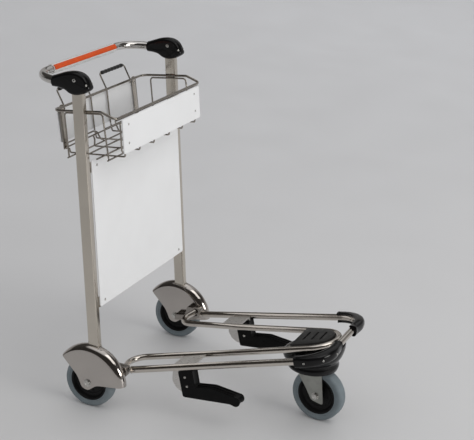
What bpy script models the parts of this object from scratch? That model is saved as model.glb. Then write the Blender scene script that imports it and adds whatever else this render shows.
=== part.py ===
"""Nesting airport luggage trolley with fixed rear wheels and one front caster.

Frame: metres, +Z up, the caster end points to -Y and the push handle to +Y.
The origin is on the floor, under the middle of the trolley's bounding box.
Lengths along Y are first given from the rear axle, and at() moves them into place.
"""
import math

import bmesh
import bpy
from mathutils import Matrix, Vector

MM = 0.001
GAP = 0.3 * MM                   # clearance between touching pieces
AXLE_Y = 234.4 * MM                # rear axle, from the origin

# rear wheels and their fenders
WHEEL_X = 286.0 * MM             # middle plane of each rear wheel
WHEEL_R = 80.0 * MM
WHEEL_W = 36.0 * MM
HUB_R = 59.4 * MM
FENDER_HALF_W = 23.6 * MM
FENDER_CROWN_R = 118.0 * MM
FENDER_SIDE_R = 100.0 * MM
FENDER_SIDE_SHIFT = 9.0 * MM     # the side's round edge sits behind the axle
SHEET = 2.0 * MM

# leaned uprights
UPRIGHT_X = 280.6 * MM
UPRIGHT_W = 22.0 * MM
UPRIGHT_D = 35.0 * MM
UPRIGHT_WALL = 1.5 * MM
UPRIGHT_Y0 = -25.6 * MM          # middle of the upright where its line meets the floor
LEAN = 0.101                     # rearward travel for each unit of height
UPRIGHT_TOP = 1000.0 * MM

# large plain panel between the uprights
PANEL_HALF_W = 267.0 * MM
PANEL_BOTTOM = 318.0 * MM
PANEL_TOP = 762.0 * MM
PANEL_T = 3.0 * MM
CROSSBAR_Z = (331.0 * MM, 742.0 * MM)
CROSSBAR_H = 30.0 * MM

# push handle
HANDLE_R = 12.5 * MM
HANDLE_WALL = 1.5 * MM
HANDLE_Y = 227.0 * MM
HANDLE_Z = 982.0 * MM
HANDLE_BEND = 85.0 * MM
HANDLE_END_Y = 95.0 * MM
SLEEVE_R = 14.7 * MM
SLEEVE_HALF_L = 180.0 * MM
STRIP_HALF_L = 178.0 * MM
BRACKET_HALF_W = 18.0 * MM

# luggage platform
RAIL_R = 10.5 * MM
RAIL_WALL = 1.5 * MM
RAIL_REAR = (237.0 * MM, -107.4 * MM, 121.3 * MM)
RAIL_SLOPE = 0.2735              # rise for each unit forward
RAIL_CORNER = (169.5 * MM, -690.0 * MM)
RAIL_BEND = 85.0 * MM
INNER_R = 9.5 * MM
INNER_WALL = 1.5 * MM
INNER_END = (234.9 * MM, -86.5 * MM, 124.3 * MM)
INNER_TURN = (150.0 * MM, -62.0 * MM, 113.5 * MM)
INNER_MID = (114.4 * MM, -300.0 * MM, 172.7 * MM)
INNER_FRONT = (78.4 * MM, -547.0 * MM, 238.0 * MM)
INNER_BEND = 70.2 * MM
INNER_SLOPE = 0.2644             # rise of the inner tube for each unit forward
PAD_LOW = 3.0 * MM               # pad faces, above the tube's middle plane
PAD_HIGH = 13.0 * MM

# basket
RIM_R = 3.75 * MM
WIRE_R = 2.5 * MM
RIM_X = 265.3 * MM
RIM_REAR = (162.0 * MM, 888.5 * MM)
RIM_SIDE = (5.3 * MM, 910.3 * MM)
RIM_FRONT = (-40.5 * MM, 896.5 * MM)
FLOOR_REAR_Y = 111.0 * MM
FLOOR_REAR_Z = 756.0 * MM
FLOOR_SLOPE = 0.1145
FLOOR_WIRE_X = (48.0 * MM, 136.0 * MM, 223.0 * MM)
WELD_STEP = 4.3 * MM             # height of one wire above the wire it is welded to
FRONT_PANEL_HALF_W = 242.0 * MM
REAR_PANEL_HALF_W = 226.0 * MM

# caster
KINGPIN_Y = -598.4 * MM
CASTER_R = 82.5 * MM
CASTER_W = 40.0 * MM
CASTER_HUB_R = 61.0 * MM
TRAIL = 29.0 * MM
SWIVEL = math.radians(-5.9)
FORK_HALF_W = 25.0 * MM
FORK_T = 3.0 * MM
CROWN_Z = 169.0 * MM
BOLT_R = 6.0 * MM

ROUND = 24                       # sides of the large turned pieces
TUBE_SIDES = 12
WIRE_SIDES = 6
SIDES = (("left", 1.0), ("right", -1.0))


# ---------------------------------------------------------------- helpers

def at(x, y, z):
    """A point of the design, with y given from the rear axle."""
    return Vector((x, y + AXLE_Y, z))


def millimetres(pairs):
    """Turn a short list of (a, b) in millimetres into metres."""
    return [(a * MM, b * MM) for a, b in pairs]


def clear_scene():
    for thing in list(bpy.data.objects):
        bpy.data.objects.remove(thing, do_unlink=True)


def material(name, colour, roughness, metallic=0.0):
    found = bpy.data.materials.get(name)
    if found:
        return found
    made = bpy.data.materials.new(name)
    made.use_nodes = True
    shader = made.node_tree.nodes["Principled BSDF"]
    shader.inputs["Base Color"].default_value = (*colour, 1.0)
    shader.inputs["Roughness"].default_value = roughness
    shader.inputs["Metallic"].default_value = metallic
    return made


def steel():
    return material("polished_stainless", (0.62, 0.60, 0.57), 0.22, 1.0)


def zinc():
    return material("zinc_plate", (0.52, 0.52, 0.50), 0.38, 1.0)


def black_plastic():
    return material("black_plastic", (0.012, 0.012, 0.013), 0.18)


def white_panel():
    return material("white_panel", (0.80, 0.80, 0.80), 0.45)


def rubber():
    return material("grey_rubber", (0.13, 0.17, 0.19), 0.6)


def grip_black():
    return material("black_grip", (0.015, 0.015, 0.015), 0.5)


def orange_plastic():
    return material("orange_grip", (0.62, 0.13, 0.02), 0.4)


def pad_plastic():
    return material("pad_plastic", (0.055, 0.055, 0.058), 0.6)


def place(name, bm, finish, location=(0, 0, 0), parent=None):
    """Make an object of a finished bmesh, with its faces pointing out."""
    bmesh.ops.recalc_face_normals(bm, faces=bm.faces)
    mesh = bpy.data.meshes.new(name)
    bm.to_mesh(mesh)
    bm.free()
    mesh.shade_smooth()
    mesh.set_sharp_from_angle(angle=math.radians(35))
    thing = bpy.data.objects.new(name, mesh)
    bpy.context.scene.collection.objects.link(thing)
    thing.location = location
    thing.parent = parent
    if finish:
        mesh.materials.append(finish)
    return thing


def cutter(name, bm, parent=None):
    """A hidden solid that only shapes other solids."""
    thing = place(name, bm, None, parent=parent)
    thing.hide_render = True
    thing.display_type = "WIRE"
    return thing


def combine(thing, other, operation):
    modifier = thing.modifiers.new(operation.lower(), "BOOLEAN")
    modifier.operation = operation
    modifier.solver = "EXACT"
    modifier.object = other
    return modifier


def axle(name, location, parent=None, turn=0.0):
    """An empty on a joint's axis."""
    empty = bpy.data.objects.new(name, None)
    bpy.context.scene.collection.objects.link(empty)
    empty.empty_display_size = 0.02
    empty.parent = parent
    empty.location = location
    empty.rotation_euler = (0.0, 0.0, turn)
    return empty


def loft(rings, closed=False):
    """Skin a row of equal rings, and cap its ends unless the row is closed."""
    bm = bmesh.new()
    rows = [[bm.verts.new(point) for point in ring] for ring in rings]
    count = len(rows[0])
    pairs = list(zip(rows, rows[1:]))
    if closed:
        pairs.append((rows[-1], rows[0]))
    for low, high in pairs:
        for i in range(count):
            j = (i + 1) % count
            bm.faces.new((low[i], low[j], high[j], high[i]))
    if not closed:
        bm.faces.new(rows[0])
        bm.faces.new(reversed(rows[-1]))
    return bm


def merge(parts):
    """Put several separate solids into one bmesh."""
    whole = bmesh.new()
    for part in parts:
        mesh = bpy.data.meshes.new("part")
        part.to_mesh(mesh)
        part.free()
        whole.from_mesh(mesh)
        bpy.data.meshes.remove(mesh)
    return whole


def circle(radius, sides, start=0.0):
    step = 2.0 * math.pi / sides
    return [(radius * math.cos(start + i * step), radius * math.sin(start + i * step))
            for i in range(sides)]


def hexagon(radius):
    """A hexagon of 12 points, so that it can be lofted to a 12-sided circle."""
    corners = circle(radius, 6)
    points = []
    for i in range(6):
        a = corners[i]
        b = corners[(i + 1) % 6]
        points.append(a)
        points.append(((a[0] + b[0]) / 2.0, (a[1] + b[1]) / 2.0))
    return points


def rounded_rectangle(width, depth, radius, steps=3):
    points = []
    for cx, cy, start in ((1, 1, 0.0), (-1, 1, 0.5), (-1, -1, 1.0), (1, -1, 1.5)):
        for i in range(steps + 1):
            angle = math.pi * (start + 0.5 * i / steps)
            points.append((cx * (width / 2 - radius) + radius * math.cos(angle),
                           cy * (depth / 2 - radius) + radius * math.sin(angle)))
    return points


def rounded(points, radius, steps=5, closed=False):
    """Replace each corner of a path by an arc."""
    points = [Vector(p) for p in points]
    count = len(points)
    path = []
    for i, corner in enumerate(points):
        if not closed and i in (0, count - 1):
            path.append(corner)
            continue
        before = (points[i - 1] - corner).normalized()
        after = (points[(i + 1) % count] - corner).normalized()
        half = before.angle(after) / 2.0
        reach = radius / math.tan(half)
        centre = corner + (before + after).normalized() * (radius / math.sin(half))
        first = corner + before * reach - centre
        last = corner + after * reach - centre
        turn = first.rotation_difference(last)
        for k in range(steps + 1):
            part = Matrix.Rotation(turn.angle * k / steps, 3, turn.axis)
            path.append(centre + part @ first)
    return path


def spline(points, steps):
    """A smooth open curve through a few 2D points (Catmull-Rom)."""
    points = [Vector(p) for p in points]
    row = [2 * points[0] - points[1], *points, 2 * points[-1] - points[-2]]
    curve = []
    for a, b, c, d in zip(row, row[1:], row[2:], row[3:]):
        for k in range(steps):
            t = k / steps
            curve.append(0.5 * (2 * b + (c - a) * t + (2 * a - 5 * b + 4 * c - d) * t * t
                                + (3 * b - a - 3 * c + d) * t ** 3))
    curve.append(points[-1])
    return [tuple(p) for p in curve]


def sweep_rings(path, section, up, closed=False):
    """Rings of a section carried along a path; up is never along the path."""
    path = [Vector(p) for p in path]
    up = Vector(up)
    count = len(path)
    rings = []
    for i, point in enumerate(path):
        back = path[i] - path[i - 1] if closed or i else path[1] - path[0]
        ahead = path[(i + 1) % count] - path[i] if closed or i < count - 1 else back
        back = back.normalized()
        ahead = ahead.normalized()
        along = (back + ahead).normalized()
        side = along.cross(up).normalized()
        rise = side.cross(along)
        bend = ahead - back
        stretch = 1.0 / max(along.dot(ahead), 0.2) - 1.0
        ring = []
        for a, b in section:
            offset = side * a + rise * b
            if bend.length > 1e-6:
                crease = bend.normalized()
                offset += crease * offset.dot(crease) * stretch
            ring.append(point + offset)
        rings.append(ring)
    return rings


def rod(path, radius, up=(0, 0, 1), sides=WIRE_SIDES, closed=False):
    """A solid round wire."""
    return loft(sweep_rings(path, circle(radius, sides, math.pi / sides), up, closed), closed)


def pipe(path, radius, wall, up=(0, 0, 1), sides=TUBE_SIDES):
    """A hollow round tube with open ends."""
    outer = sweep_rings(path, circle(radius, sides), up)
    inner = sweep_rings(path, circle(radius - wall, sides), up)
    return loft(outer + inner[::-1], closed=True)


def prism(outline, low, high):
    """Extrude a (y, z) outline along X."""
    return loft([[at(x, y, z) for y, z in outline] for x in (low, high)])


def turned(profile, sides=ROUND, centre=(0, 0, 0)):
    """A ring turned about X: a closed profile of (radius, x), off the axis."""
    cx, cy, cz = centre
    rings = []
    for k in range(sides):
        angle = 2.0 * math.pi * k / sides
        rings.append([Vector((cx + x, cy + r * math.cos(angle), cz + r * math.sin(angle)))
                      for r, x in profile])
    return loft(rings, closed=True)


def along_x(stations):
    """Loft (x, ring) stations along X, with the rings lying in the YZ plane."""
    return [[Vector((x, a, b)) for a, b in ring] for x, ring in stations]


def box(size, centre):
    """A plain block, used for cutting and for flat bars."""
    half = [s / 2.0 for s in size]
    outline = ((-1, -1), (1, -1), (1, 1), (-1, 1))
    rings = [[Vector(centre) + Vector((sx * half[0], sy * half[1], sz * half[2]))
              for sx, sy in outline] for sz in (-1, 1)]
    return loft(rings)


def upright_y(z):
    """Middle of an upright at a height, from the rear axle."""
    return UPRIGHT_Y0 + LEAN * z


def leaned_block(half_w, low, high, front, back):
    """A flat piece that leans with the uprights; front and back are from their middle."""
    rings = []
    for z in (low, high):
        y = upright_y(z)
        rings.append([at(-half_w, y + front, z), at(half_w, y + front, z),
                      at(half_w, y + back, z), at(-half_w, y + back, z)])
    return loft(rings)


# ---------------------------------------------------------------- fenders and uprights

def dome(side, grow, steps=36, across=6):
    """The fender's full outer form, a wheel-shaped dome; grow offsets its skin."""
    half_w = FENDER_HALF_W + grow
    rings = []
    for k in range(steps):
        angle = 2.0 * math.pi * k / steps
        direction = Vector((0.0, math.cos(angle), math.sin(angle)))
        edge = (FENDER_SIDE_SHIFT * math.cos(angle)
                + math.sqrt(FENDER_SIDE_R ** 2 - (FENDER_SIDE_SHIFT * math.sin(angle)) ** 2))
        edge += grow
        crown = FENDER_CROWN_R + grow
        ring = []
        for i in range(across + 1):
            turn = math.pi * i / across
            radius = edge + (crown - edge) * math.sin(turn)
            ring.append(at(side * WHEEL_X + half_w * math.cos(turn), 0, WHEEL_R)
                        + direction * radius)
        rings.append(ring)
    bm = bmesh.new()
    rows = [[bm.verts.new(p) for p in ring] for ring in rings]
    for k in range(steps):
        low = rows[k]
        high = rows[(k + 1) % steps]
        for i in range(across):
            bm.faces.new((low[i], low[i + 1], high[i + 1], high[i]))
    bm.faces.new([row[0] for row in rows])
    bm.faces.new([row[-1] for row in rows][::-1])
    return bm


def fender_outline():
    """Side outline: the cut edge from the rear tip, round the axle lobe, to the front."""
    edge = spline(millimetres(((88, 146), (74, 132), (55, 114), (39, 98), (28, 80),
                               (20, 64), (9, 57.5), (-4, 57.5), (-16, 66), (-30, 76),
                               (-52, 81), (-92, 87))), 2)
    around = millimetres(((-135, 89), (-135, 235), (125, 235), (125, 170)))
    return edge + around


def add_fenders():
    for name, side in SIDES:
        fender = place("fender_" + name, dome(side, 0.0), steel())
        low = side * WHEEL_X - 60 * MM
        outline = cutter("fender_outline_" + name, prism(fender_outline(), low, low + 120 * MM))
        hollow = cutter("fender_hollow_" + name, dome(side, -SHEET))
        hole = [at(0, y, z + WHEEL_R) for y, z in circle(BOLT_R + GAP, 12)]
        bore = loft([[p + Vector((side * WHEEL_X + x, 0, 0)) for p in hole]
                     for x in (-50 * MM, 50 * MM)])
        hole_cutter = cutter("fender_bore_" + name, bore)
        combine(fender, outline, "INTERSECT")
        combine(fender, hollow, "DIFFERENCE")
        combine(fender, hole_cutter, "DIFFERENCE")


def upright_form(side, grow, low, high):
    """Rings of the leaned rectangular tube."""
    section = rounded_rectangle(UPRIGHT_W + 2 * grow, UPRIGHT_D + 2 * grow, 3 * MM + grow)
    return [[at(side * UPRIGHT_X + x, upright_y(z) + y, z) for x, y in section]
            for z in (low, high)]


def add_uprights():
    for name, side in SIDES:
        low = 185 * MM
        outer = upright_form(side, 0.0, low, UPRIGHT_TOP)
        inner = upright_form(side, -UPRIGHT_WALL, low, UPRIGHT_TOP)
        upright = place("upright_" + name, loft(outer + inner[::-1], closed=True), steel())
        foot = cutter("upright_foot_" + name, dome(side, GAP))
        combine(upright, foot, "DIFFERENCE")


def add_display_panel():
    face = -UPRIGHT_D / 2
    place("display_panel",
          leaned_block(PANEL_HALF_W, PANEL_BOTTOM, PANEL_TOP, face - PANEL_T, face - GAP),
          white_panel())
    reach = UPRIGHT_X - UPRIGHT_W / 2 - GAP
    for name, z in zip(("lower", "upper"), CROSSBAR_Z):
        bar = leaned_block(reach, z - CROSSBAR_H / 2, z + CROSSBAR_H / 2, face, face + 4 * MM)
        place("panel_crossbar_" + name, bar, steel())


# ---------------------------------------------------------------- push handle

def handle_path():
    x = UPRIGHT_X
    corners = [at(-x, HANDLE_END_Y, HANDLE_Z), at(-x, HANDLE_Y, HANDLE_Z),
               at(x, HANDLE_Y, HANDLE_Z), at(x, HANDLE_END_Y, HANDLE_Z)]
    return rounded(corners, HANDLE_BEND, 6)


def bracket_outline():
    """Side outline of the handle bracket: a comma with its tail on the handle tube."""
    return spline(millimetres(((150, 998.5), (130, 1007), (109, 1015), (86, 1020), (63, 1018),
                               (45, 1008), (33, 990), (28.5, 976), (39, 966), (56, 957),
                               (75, 952), (95, 954.5), (112, 963), (130, 966), (149, 966))), 2)


def add_handle():
    tube = pipe(handle_path(), HANDLE_R, HANDLE_WALL)
    place("handle_tube", tube, steel())
    for name, side in SIDES:
        middle = side * UPRIGHT_X
        body = prism(bracket_outline(), middle - BRACKET_HALF_W, middle + BRACKET_HALF_W)
        bracket = place("handle_bracket_" + name, body, black_plastic())
        soften = bracket.modifiers.new("round_edges", "BEVEL")
        soften.width = 7 * MM
        soften.segments = 1
        soften.limit_method = "ANGLE"
        soften.angle_limit = math.radians(50)
        bore = cutter("handle_bore_" + name,
                      rod(handle_path(), HANDLE_R + 2.5 * GAP, sides=TUBE_SIDES))
        pocket = cutter("upright_pocket_" + name,
                        loft(upright_form(side, GAP, 900 * MM, UPRIGHT_TOP + GAP)))
        combine(bracket, bore, "DIFFERENCE")
        combine(bracket, pocket, "DIFFERENCE")


def arc_band(inner, outer, start, end, steps):
    """Closed outline of a curved band, as (forward, up) pairs about the tube's centre."""
    turns = [math.radians(start + (end - start) * i / steps) for i in range(steps + 1)]
    band = [(-inner * math.cos(t), inner * math.sin(t)) for t in turns]
    return band + [(-outer * math.cos(t), outer * math.sin(t)) for t in reversed(turns)]


def add_sleeve():
    def bar(section, half):
        return [[at(x, HANDLE_Y + a, HANDLE_Z + b) for a, b in section] for x in (-half, half)]

    outer = bar(circle(SLEEVE_R, TUBE_SIDES), SLEEVE_HALF_L)
    inner = bar(circle(HANDLE_R + GAP, TUBE_SIDES), SLEEVE_HALF_L)
    place("handle_sleeve", loft(outer + inner[::-1], closed=True), pad_plastic())
    band = arc_band(SLEEVE_R + GAP, SLEEVE_R + 1.4 * MM, 2, 64, 6)
    place("handle_grip_strip", loft(bar(band, STRIP_HALF_L)), orange_plastic())


# ---------------------------------------------------------------- luggage platform

def rail_z(y):
    """Height of the outer rails' middle line."""
    return RAIL_REAR[2] + (RAIL_REAR[1] - y) * RAIL_SLOPE


def outer_path():
    x0, y0, _ = RAIL_REAR
    x1, y1 = RAIL_CORNER
    corners = [at(-x0, y0, rail_z(y0)), at(-x1, y1, rail_z(y1)),
               at(x1, y1, rail_z(y1)), at(x0, y0, rail_z(y0))]
    return rounded(corners, RAIL_BEND, 6)


def inner_z(y):
    """Height of the inner tube's middle plane."""
    return INNER_FRONT[2] + (INNER_FRONT[1] - y) * INNER_SLOPE


def inner_nose(inset):
    """The round front of the inner tube, or a curve that far inside it."""
    run = (INNER_MID[0] - INNER_FRONT[0]) / (INNER_MID[1] - INNER_FRONT[1])
    toe_in = math.atan(run)
    ahead = (INNER_FRONT[0] - INNER_BEND * math.cos(toe_in)) / run
    centre_y = INNER_FRONT[1] - ahead + INNER_BEND * math.sin(toe_in)
    radius = INNER_BEND - inset
    nose = []
    for k in range(9):
        angle = toe_in + (math.pi - 2 * toe_in) * k / 8
        y = centre_y - radius * math.sin(angle)
        nose.append(at(radius * math.cos(angle), y, inner_z(y)))
    return nose


def inner_path():
    """The inner tube's middle line: turned-out ends, converging legs, a round front."""
    leg = rounded([at(*INNER_END), at(*INNER_TURN), at(*INNER_MID)], 48 * MM, 5)
    mirrored = [Vector((-p.x, p.y, p.z)) for p in reversed(leg)]
    return leg + inner_nose(0.0) + mirrored


def add_platform_tubes():
    place("outer_platform_tube", pipe(outer_path(), RAIL_R, RAIL_WALL), steel())
    place("inner_platform_tube", pipe(inner_path(), INNER_R, INNER_WALL), steel())


def bumper_section(swell, steps=8):
    """A C round the rail, open on its inner side, with its outer wall swollen."""
    turns = [math.radians(-125 + 250 * i / steps) for i in range(steps + 1)]
    inner = [((RAIL_R + GAP) * math.cos(t), (RAIL_R + GAP) * math.sin(t)) for t in turns]
    reach = RAIL_R + 5 * MM + swell
    height = RAIL_R + 6 * MM
    outer = []
    for t in reversed(turns):
        across = reach if math.cos(t) > 0 else height
        outer.append((across * math.cos(t), height * math.sin(t)))
    return inner + outer


def add_bumpers():
    path = outer_path()
    corner = path[1:8]
    straight = (path[0] - path[1]).normalized()
    start = corner[0] + straight * 12 * MM
    finish = Vector((-60 * MM, corner[-1].y, corner[-1].z))
    route = [start, *corner, finish]
    for name, side in (("right", 1.0), ("left", -1.0)):
        turned_route = [Vector((p.x * side, p.y, p.z)) for p in route]
        rings = []
        last = len(route) - 1
        for i in range(last + 1):
            swell = 9 * MM * math.sin(math.pi * i / last)
            section = [(a * side, b) for a, b in bumper_section(swell)]
            rings.append(sweep_rings(turned_route, section, (0, 0, 1))[i])
        place("corner_bumper_" + name, loft(rings), black_plastic())


def add_toe_pad():
    """A slotted pad that fills the round front of the inner tube."""
    normal = Vector((0, INNER_SLOPE, 1)).normalized()
    inset = INNER_R + 2 * GAP
    rear_y = -549 * MM
    rear_x = INNER_FRONT[0] - inset
    outline = [at(rear_x, rear_y, inner_z(rear_y)), *inner_nose(inset),
               at(-rear_x, rear_y, inner_z(rear_y))]
    rings = [[p + normal * h for p in outline] for h in (PAD_LOW, PAD_HIGH)]
    pad = place("toe_pad", loft(rings), pad_plastic())
    slots = []
    for i in range(3):
        y = (-574 - i * 26) * MM
        slot = box((62 * MM, 5 * MM, 12 * MM), (0, 0, 0))
        turn = Matrix.Rotation(-math.atan(INNER_SLOPE), 4, "X")
        slot.transform(Matrix.Translation(at(0, y, inner_z(y)) + normal * PAD_HIGH) @ turn)
        slots.append(slot)
    combine(pad, cutter("toe_pad_slots", merge(slots)), "DIFFERENCE")


def add_rail_brackets():
    """Steel block and stub between each rail's rear end and its fender."""
    inner_face = WHEEL_X - FENDER_HALF_W
    outline = millimetres(((-11.5, 78), (-11.5, 98), (-48, 104), (-56, 136), (-104.3, 136),
                           (-104.3, 108), (-84, 94), (-48, 82)))
    hole = [at(0, y - 90 * MM, z + 114 * MM) for y, z in circle(4 * MM, 12)]
    for name, side in SIDES:
        far = side * (inner_face - 24 * MM)
        near = side * (inner_face - GAP)
        block = place("rail_bracket_" + name, prism(outline, far, near), steel())
        bore = loft([[p + Vector((side * inner_face + x, 0, 0)) for p in hole]
                     for x in (-30 * MM, 10 * MM)])
        combine(block, cutter("rail_bracket_hole_" + name, bore), "DIFFERENCE")


# ---------------------------------------------------------------- nesting hooks

def add_hooks():
    outline = millimetres(((-258.6, 149.5), (-279.4, 73), (-431, 91)))
    tip = [(-447 * MM + 13.5 * MM * math.cos(a), 101 * MM + 13.5 * MM * math.sin(a))
           for a in (math.radians(-60 + 30 * i) for i in range(-1, -6, -1))]
    top = millimetres(((-371, 121), (-314, 111), (-301.8, 161)))
    hook_outline = outline + tip + top
    plate_outline = millimetres(((-232, 155.5), (-230, 106), (-243, 86), (-262, 76),
                                 (-272, 76), (-300, 140), (-300, 173.5)))
    for name, side in SIDES:
        plate_x = side * 200 * MM
        hook = place("nesting_hook_" + name,
                     prism(hook_outline, side * 189 * MM, side * 222 * MM), black_plastic())
        slot = prism([(y, z) for y, z in plate_outline], plate_x - 2 * MM - GAP,
                     plate_x + 2 * MM + GAP)
        slot_cutter = cutter("hook_slot_" + name, slot)
        combine(hook, slot_cutter, "DIFFERENCE")
        plate = place("hook_plate_" + name,
                      prism(plate_outline, plate_x - 2 * MM, plate_x + 2 * MM), steel())
        flange = hook_flange(side, plate_x)
        combine(plate, flange, "UNION")


def hook_flange(side, plate_x):
    """The flat part of the hook plate, which spans between the two platform tubes."""
    outer = abs(plate_x) + 1 * MM
    rings = []
    for lift in (-2 * MM, 2 * MM):
        ring = []
        for x, y in ((134.9 * MM, -232 * MM), (outer, -232 * MM), (outer, -300 * MM),
                     (124.7 * MM, -300 * MM)):
            ring.append(at(side * x, y, rail_z(y) + lift))
        rings.append(ring)
    return cutter("hook_flange_form", loft(rings))


# ---------------------------------------------------------------- basket

def floor_z(y):
    """Height of the lower wires of the basket floor."""
    return FLOOR_REAR_Z + (FLOOR_REAR_Y - y) * FLOOR_SLOPE


def add_rim():
    x = RIM_X
    corners = []
    for side in (-1, 1):
        corners.append([at(side * x, *RIM_REAR), at(side * x, *RIM_SIDE), at(side * x, *RIM_FRONT)])
    ring = corners[0] + corners[1][::-1]
    path = []
    for i, point in enumerate(ring):
        radius = (22 if i in (0, 5) else 14) * MM
        before = ring[i - 1]
        after = ring[(i + 1) % 6]
        path += rounded([before, point, after], radius, 4)[1:-1]
    place("basket_rim", rod(path, RIM_R, closed=True), steel())


def floor_wire(x):
    """One fore-and-aft floor wire, turned up to the front frame at its end."""
    lift = WELD_STEP
    front = -53.0 * MM
    curl = 5.0 * MM
    rear = 128 * MM
    path = []
    if abs(x) < 100 * MM:
        path.append(at(x, 150.6 * MM, 779 * MM))
        path += rounded([path[0], at(x, 144 * MM, floor_z(144 * MM) + lift),
                         at(x, 60 * MM, floor_z(60 * MM) + lift)], 14 * MM, 4)[1:-1]
    else:
        path.append(at(x, rear, floor_z(rear) + lift))
    base = floor_z(front) + lift
    path += rounded([path[-1], at(x, front, base), at(x, front, base + 15 * MM)], curl, 4)[1:]
    return rod(path, WIRE_R, up=(1, 0, 0))


def add_floor_grid():
    lengthwise = [floor_wire(side * x) for x in FLOOR_WIRE_X for side in (-1, 1)]
    grid = place("basket_floor_grid", merge(lengthwise), steel())
    crosswise = []
    reach = UPRIGHT_X - UPRIGHT_W / 2 - GAP - 0.1 * MM
    for y, lift, half in ((FLOOR_REAR_Y, 0.0, RIM_X), (20 * MM, 0.0, RIM_X - 8 * MM),
                          (-20 * MM, 0.0, RIM_X), (58 * MM, 2 * WELD_STEP, reach),
                          (None, 0.0, 221 * MM)):
        if y is None:
            point = (143.4 * MM, 770.5 * MM)
        else:
            point = (y, floor_z(y) + lift)
        crosswise.append(rod([at(-half, *point), at(half, *point)], WIRE_R))
    combine(grid, cutter("basket_floor_cross_wires", merge(crosswise)), "UNION")


def add_side_frames():
    """An inverted U of wire inside each side of the rim, and a brace between the two."""
    for name, side in SIDES:
        x = side * (RIM_X - RIM_R - WIRE_R - GAP)
        rear_foot = at(x, FLOOR_REAR_Y, floor_z(FLOOR_REAR_Y) + WIRE_R + GAP)
        front_foot = at(x, -20 * MM, floor_z(-20 * MM) + WIRE_R + GAP)
        corners = [rear_foot, at(x, 130 * MM, 886 * MM), at(x, 5 * MM, 903 * MM), front_foot]
        place("basket_side_frame_" + name,
              rod(rounded(corners, 10 * MM, 4), WIRE_R, up=(1, 0, 0)), steel())
    reach = RIM_X - RIM_R - 2 * WIRE_R - 2 * GAP
    height = 861 * MM
    place("basket_brace",
          rod([at(-reach, -3.5 * MM, height), at(reach, -3.5 * MM, height)], WIRE_R), steel())


def add_front():
    """The wire frame at the basket's front, and the plain panel screwed to it."""
    x = 246 * MM
    low = (-55.0 * MM, 797.5 * MM)
    high = (-45.3 * MM, 884.5 * MM)
    corners = [at(-x, *low), at(x, *low), at(x, *high), at(-x, *high)]
    place("basket_front_frame",
          rod(rounded(corners, 8 * MM, 3, closed=True), WIRE_R, up=(0, 1, 0), closed=True), steel())
    drop = (low[0] - high[0]) / (high[1] - low[1])
    rings = []
    for z in (793.4 * MM, 891.0 * MM):
        y = high[0] + (high[1] - z) * drop - WIRE_R - 2 * GAP
        half = FRONT_PANEL_HALF_W
        rings.append([at(-half, y - PANEL_T, z), at(half, y - PANEL_T, z), at(half, y, z),
                      at(-half, y, z)])
    place("basket_front_panel", loft(rings), white_panel())


def rear_y(z):
    """The basket's leaned rear plane."""
    return RIM_REAR[0] - (RIM_REAR[1] - z) * 0.17


def add_rear():
    """Riveted flat bars behind the rim, and the plain rear panel on them."""
    low = 764 * MM
    high = 884 * MM

    def slab(x0, x1, bottom, top, front, thickness):
        rings = []
        for z in (bottom, top):
            y = rear_y(z) + front
            rings.append([at(x0, y, z), at(x1, y, z), at(x1, y + thickness, z),
                          at(x0, y + thickness, z)])
        return loft(rings)

    behind = RIM_R + 2 * GAP
    for name, side in SIDES:
        x = side * 213 * MM
        place("basket_flat_bar_" + name,
              slab(x - 7.5 * MM, x + 7.5 * MM, low, high + 8 * MM, behind, 3 * MM), steel())
    place("basket_rear_panel",
          slab(-REAR_PANEL_HALF_W, REAR_PANEL_HALF_W, low + 20 * MM, high, behind + 9 * MM, 3 * MM),
          white_panel())


def loop_path(side):
    """Loop wire: up the basket's rear, leaned back over the rim, and down to it again."""
    inner = side * FLOOR_WIRE_X[0]
    outer = side * 197 * MM
    foot = RIM_REAR[0] + RIM_R + WIRE_R + GAP
    foot_z = 884 * MM
    top = (foot + 27 * MM, foot_z + 46 * MM)
    corners = [at(inner, 151.3 * MM, 780.2 * MM), at(inner, foot, foot_z), at(inner, *top),
               at(outer, *top), at(outer, foot, foot_z), at(outer, foot - 1 * MM, foot_z - 9 * MM)]
    return rounded(corners, 7 * MM, 3)


def add_carry_loops():
    for name, side in SIDES:
        path = loop_path(side)
        wire = rod(path, WIRE_R, up=(0, 1, 0.35))
        place("carry_loop_" + name, wire, steel())
        top = max(p.z for p in path)
        y = max(p.y for p in path)
        low = side * (FLOOR_WIRE_X[0] + 10 * MM)
        high = side * (197 - 10) * MM
        outer = ribbed_grip(low, high, y, top)
        bore = [Vector((x, y + a, top + b)) for x in (low, high)
                for a, b in circle(WIRE_R + 2 * GAP, 8)]
        rings = outer + [bore[8:], bore[:8]]
        place("carry_loop_grip_" + name, loft(rings, closed=True), grip_black())


def ribbed_grip(low, high, y, z, ribs=6):
    """Outer rings of a grip with shallow finger ribs."""
    rings = []
    for i in range(2 * ribs + 1):
        x = low + (high - low) * i / (2 * ribs)
        radius = (6.2 if i % 2 else 5.4) * MM
        rings.append([Vector((x, y + a, z + b)) for a, b in circle(radius, 8)])
    return rings


# ---------------------------------------------------------------- wheels

def tyre_profile(radius, width, hub):
    """Round-shouldered rubber tyre on a flat seat."""
    half = width / 2
    shoulder = 9 * MM
    profile = []
    for i in range(5):
        angle = math.pi / 2 * i / 4
        profile.append((radius - shoulder + shoulder * math.sin(angle),
                        -half + shoulder * (1 - math.cos(angle))))
    profile += [(r, -x) for r, x in reversed(profile)]
    seat = hub + GAP
    return [*profile, (seat, half - 1 * MM), (seat, -half + 1 * MM)]


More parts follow.
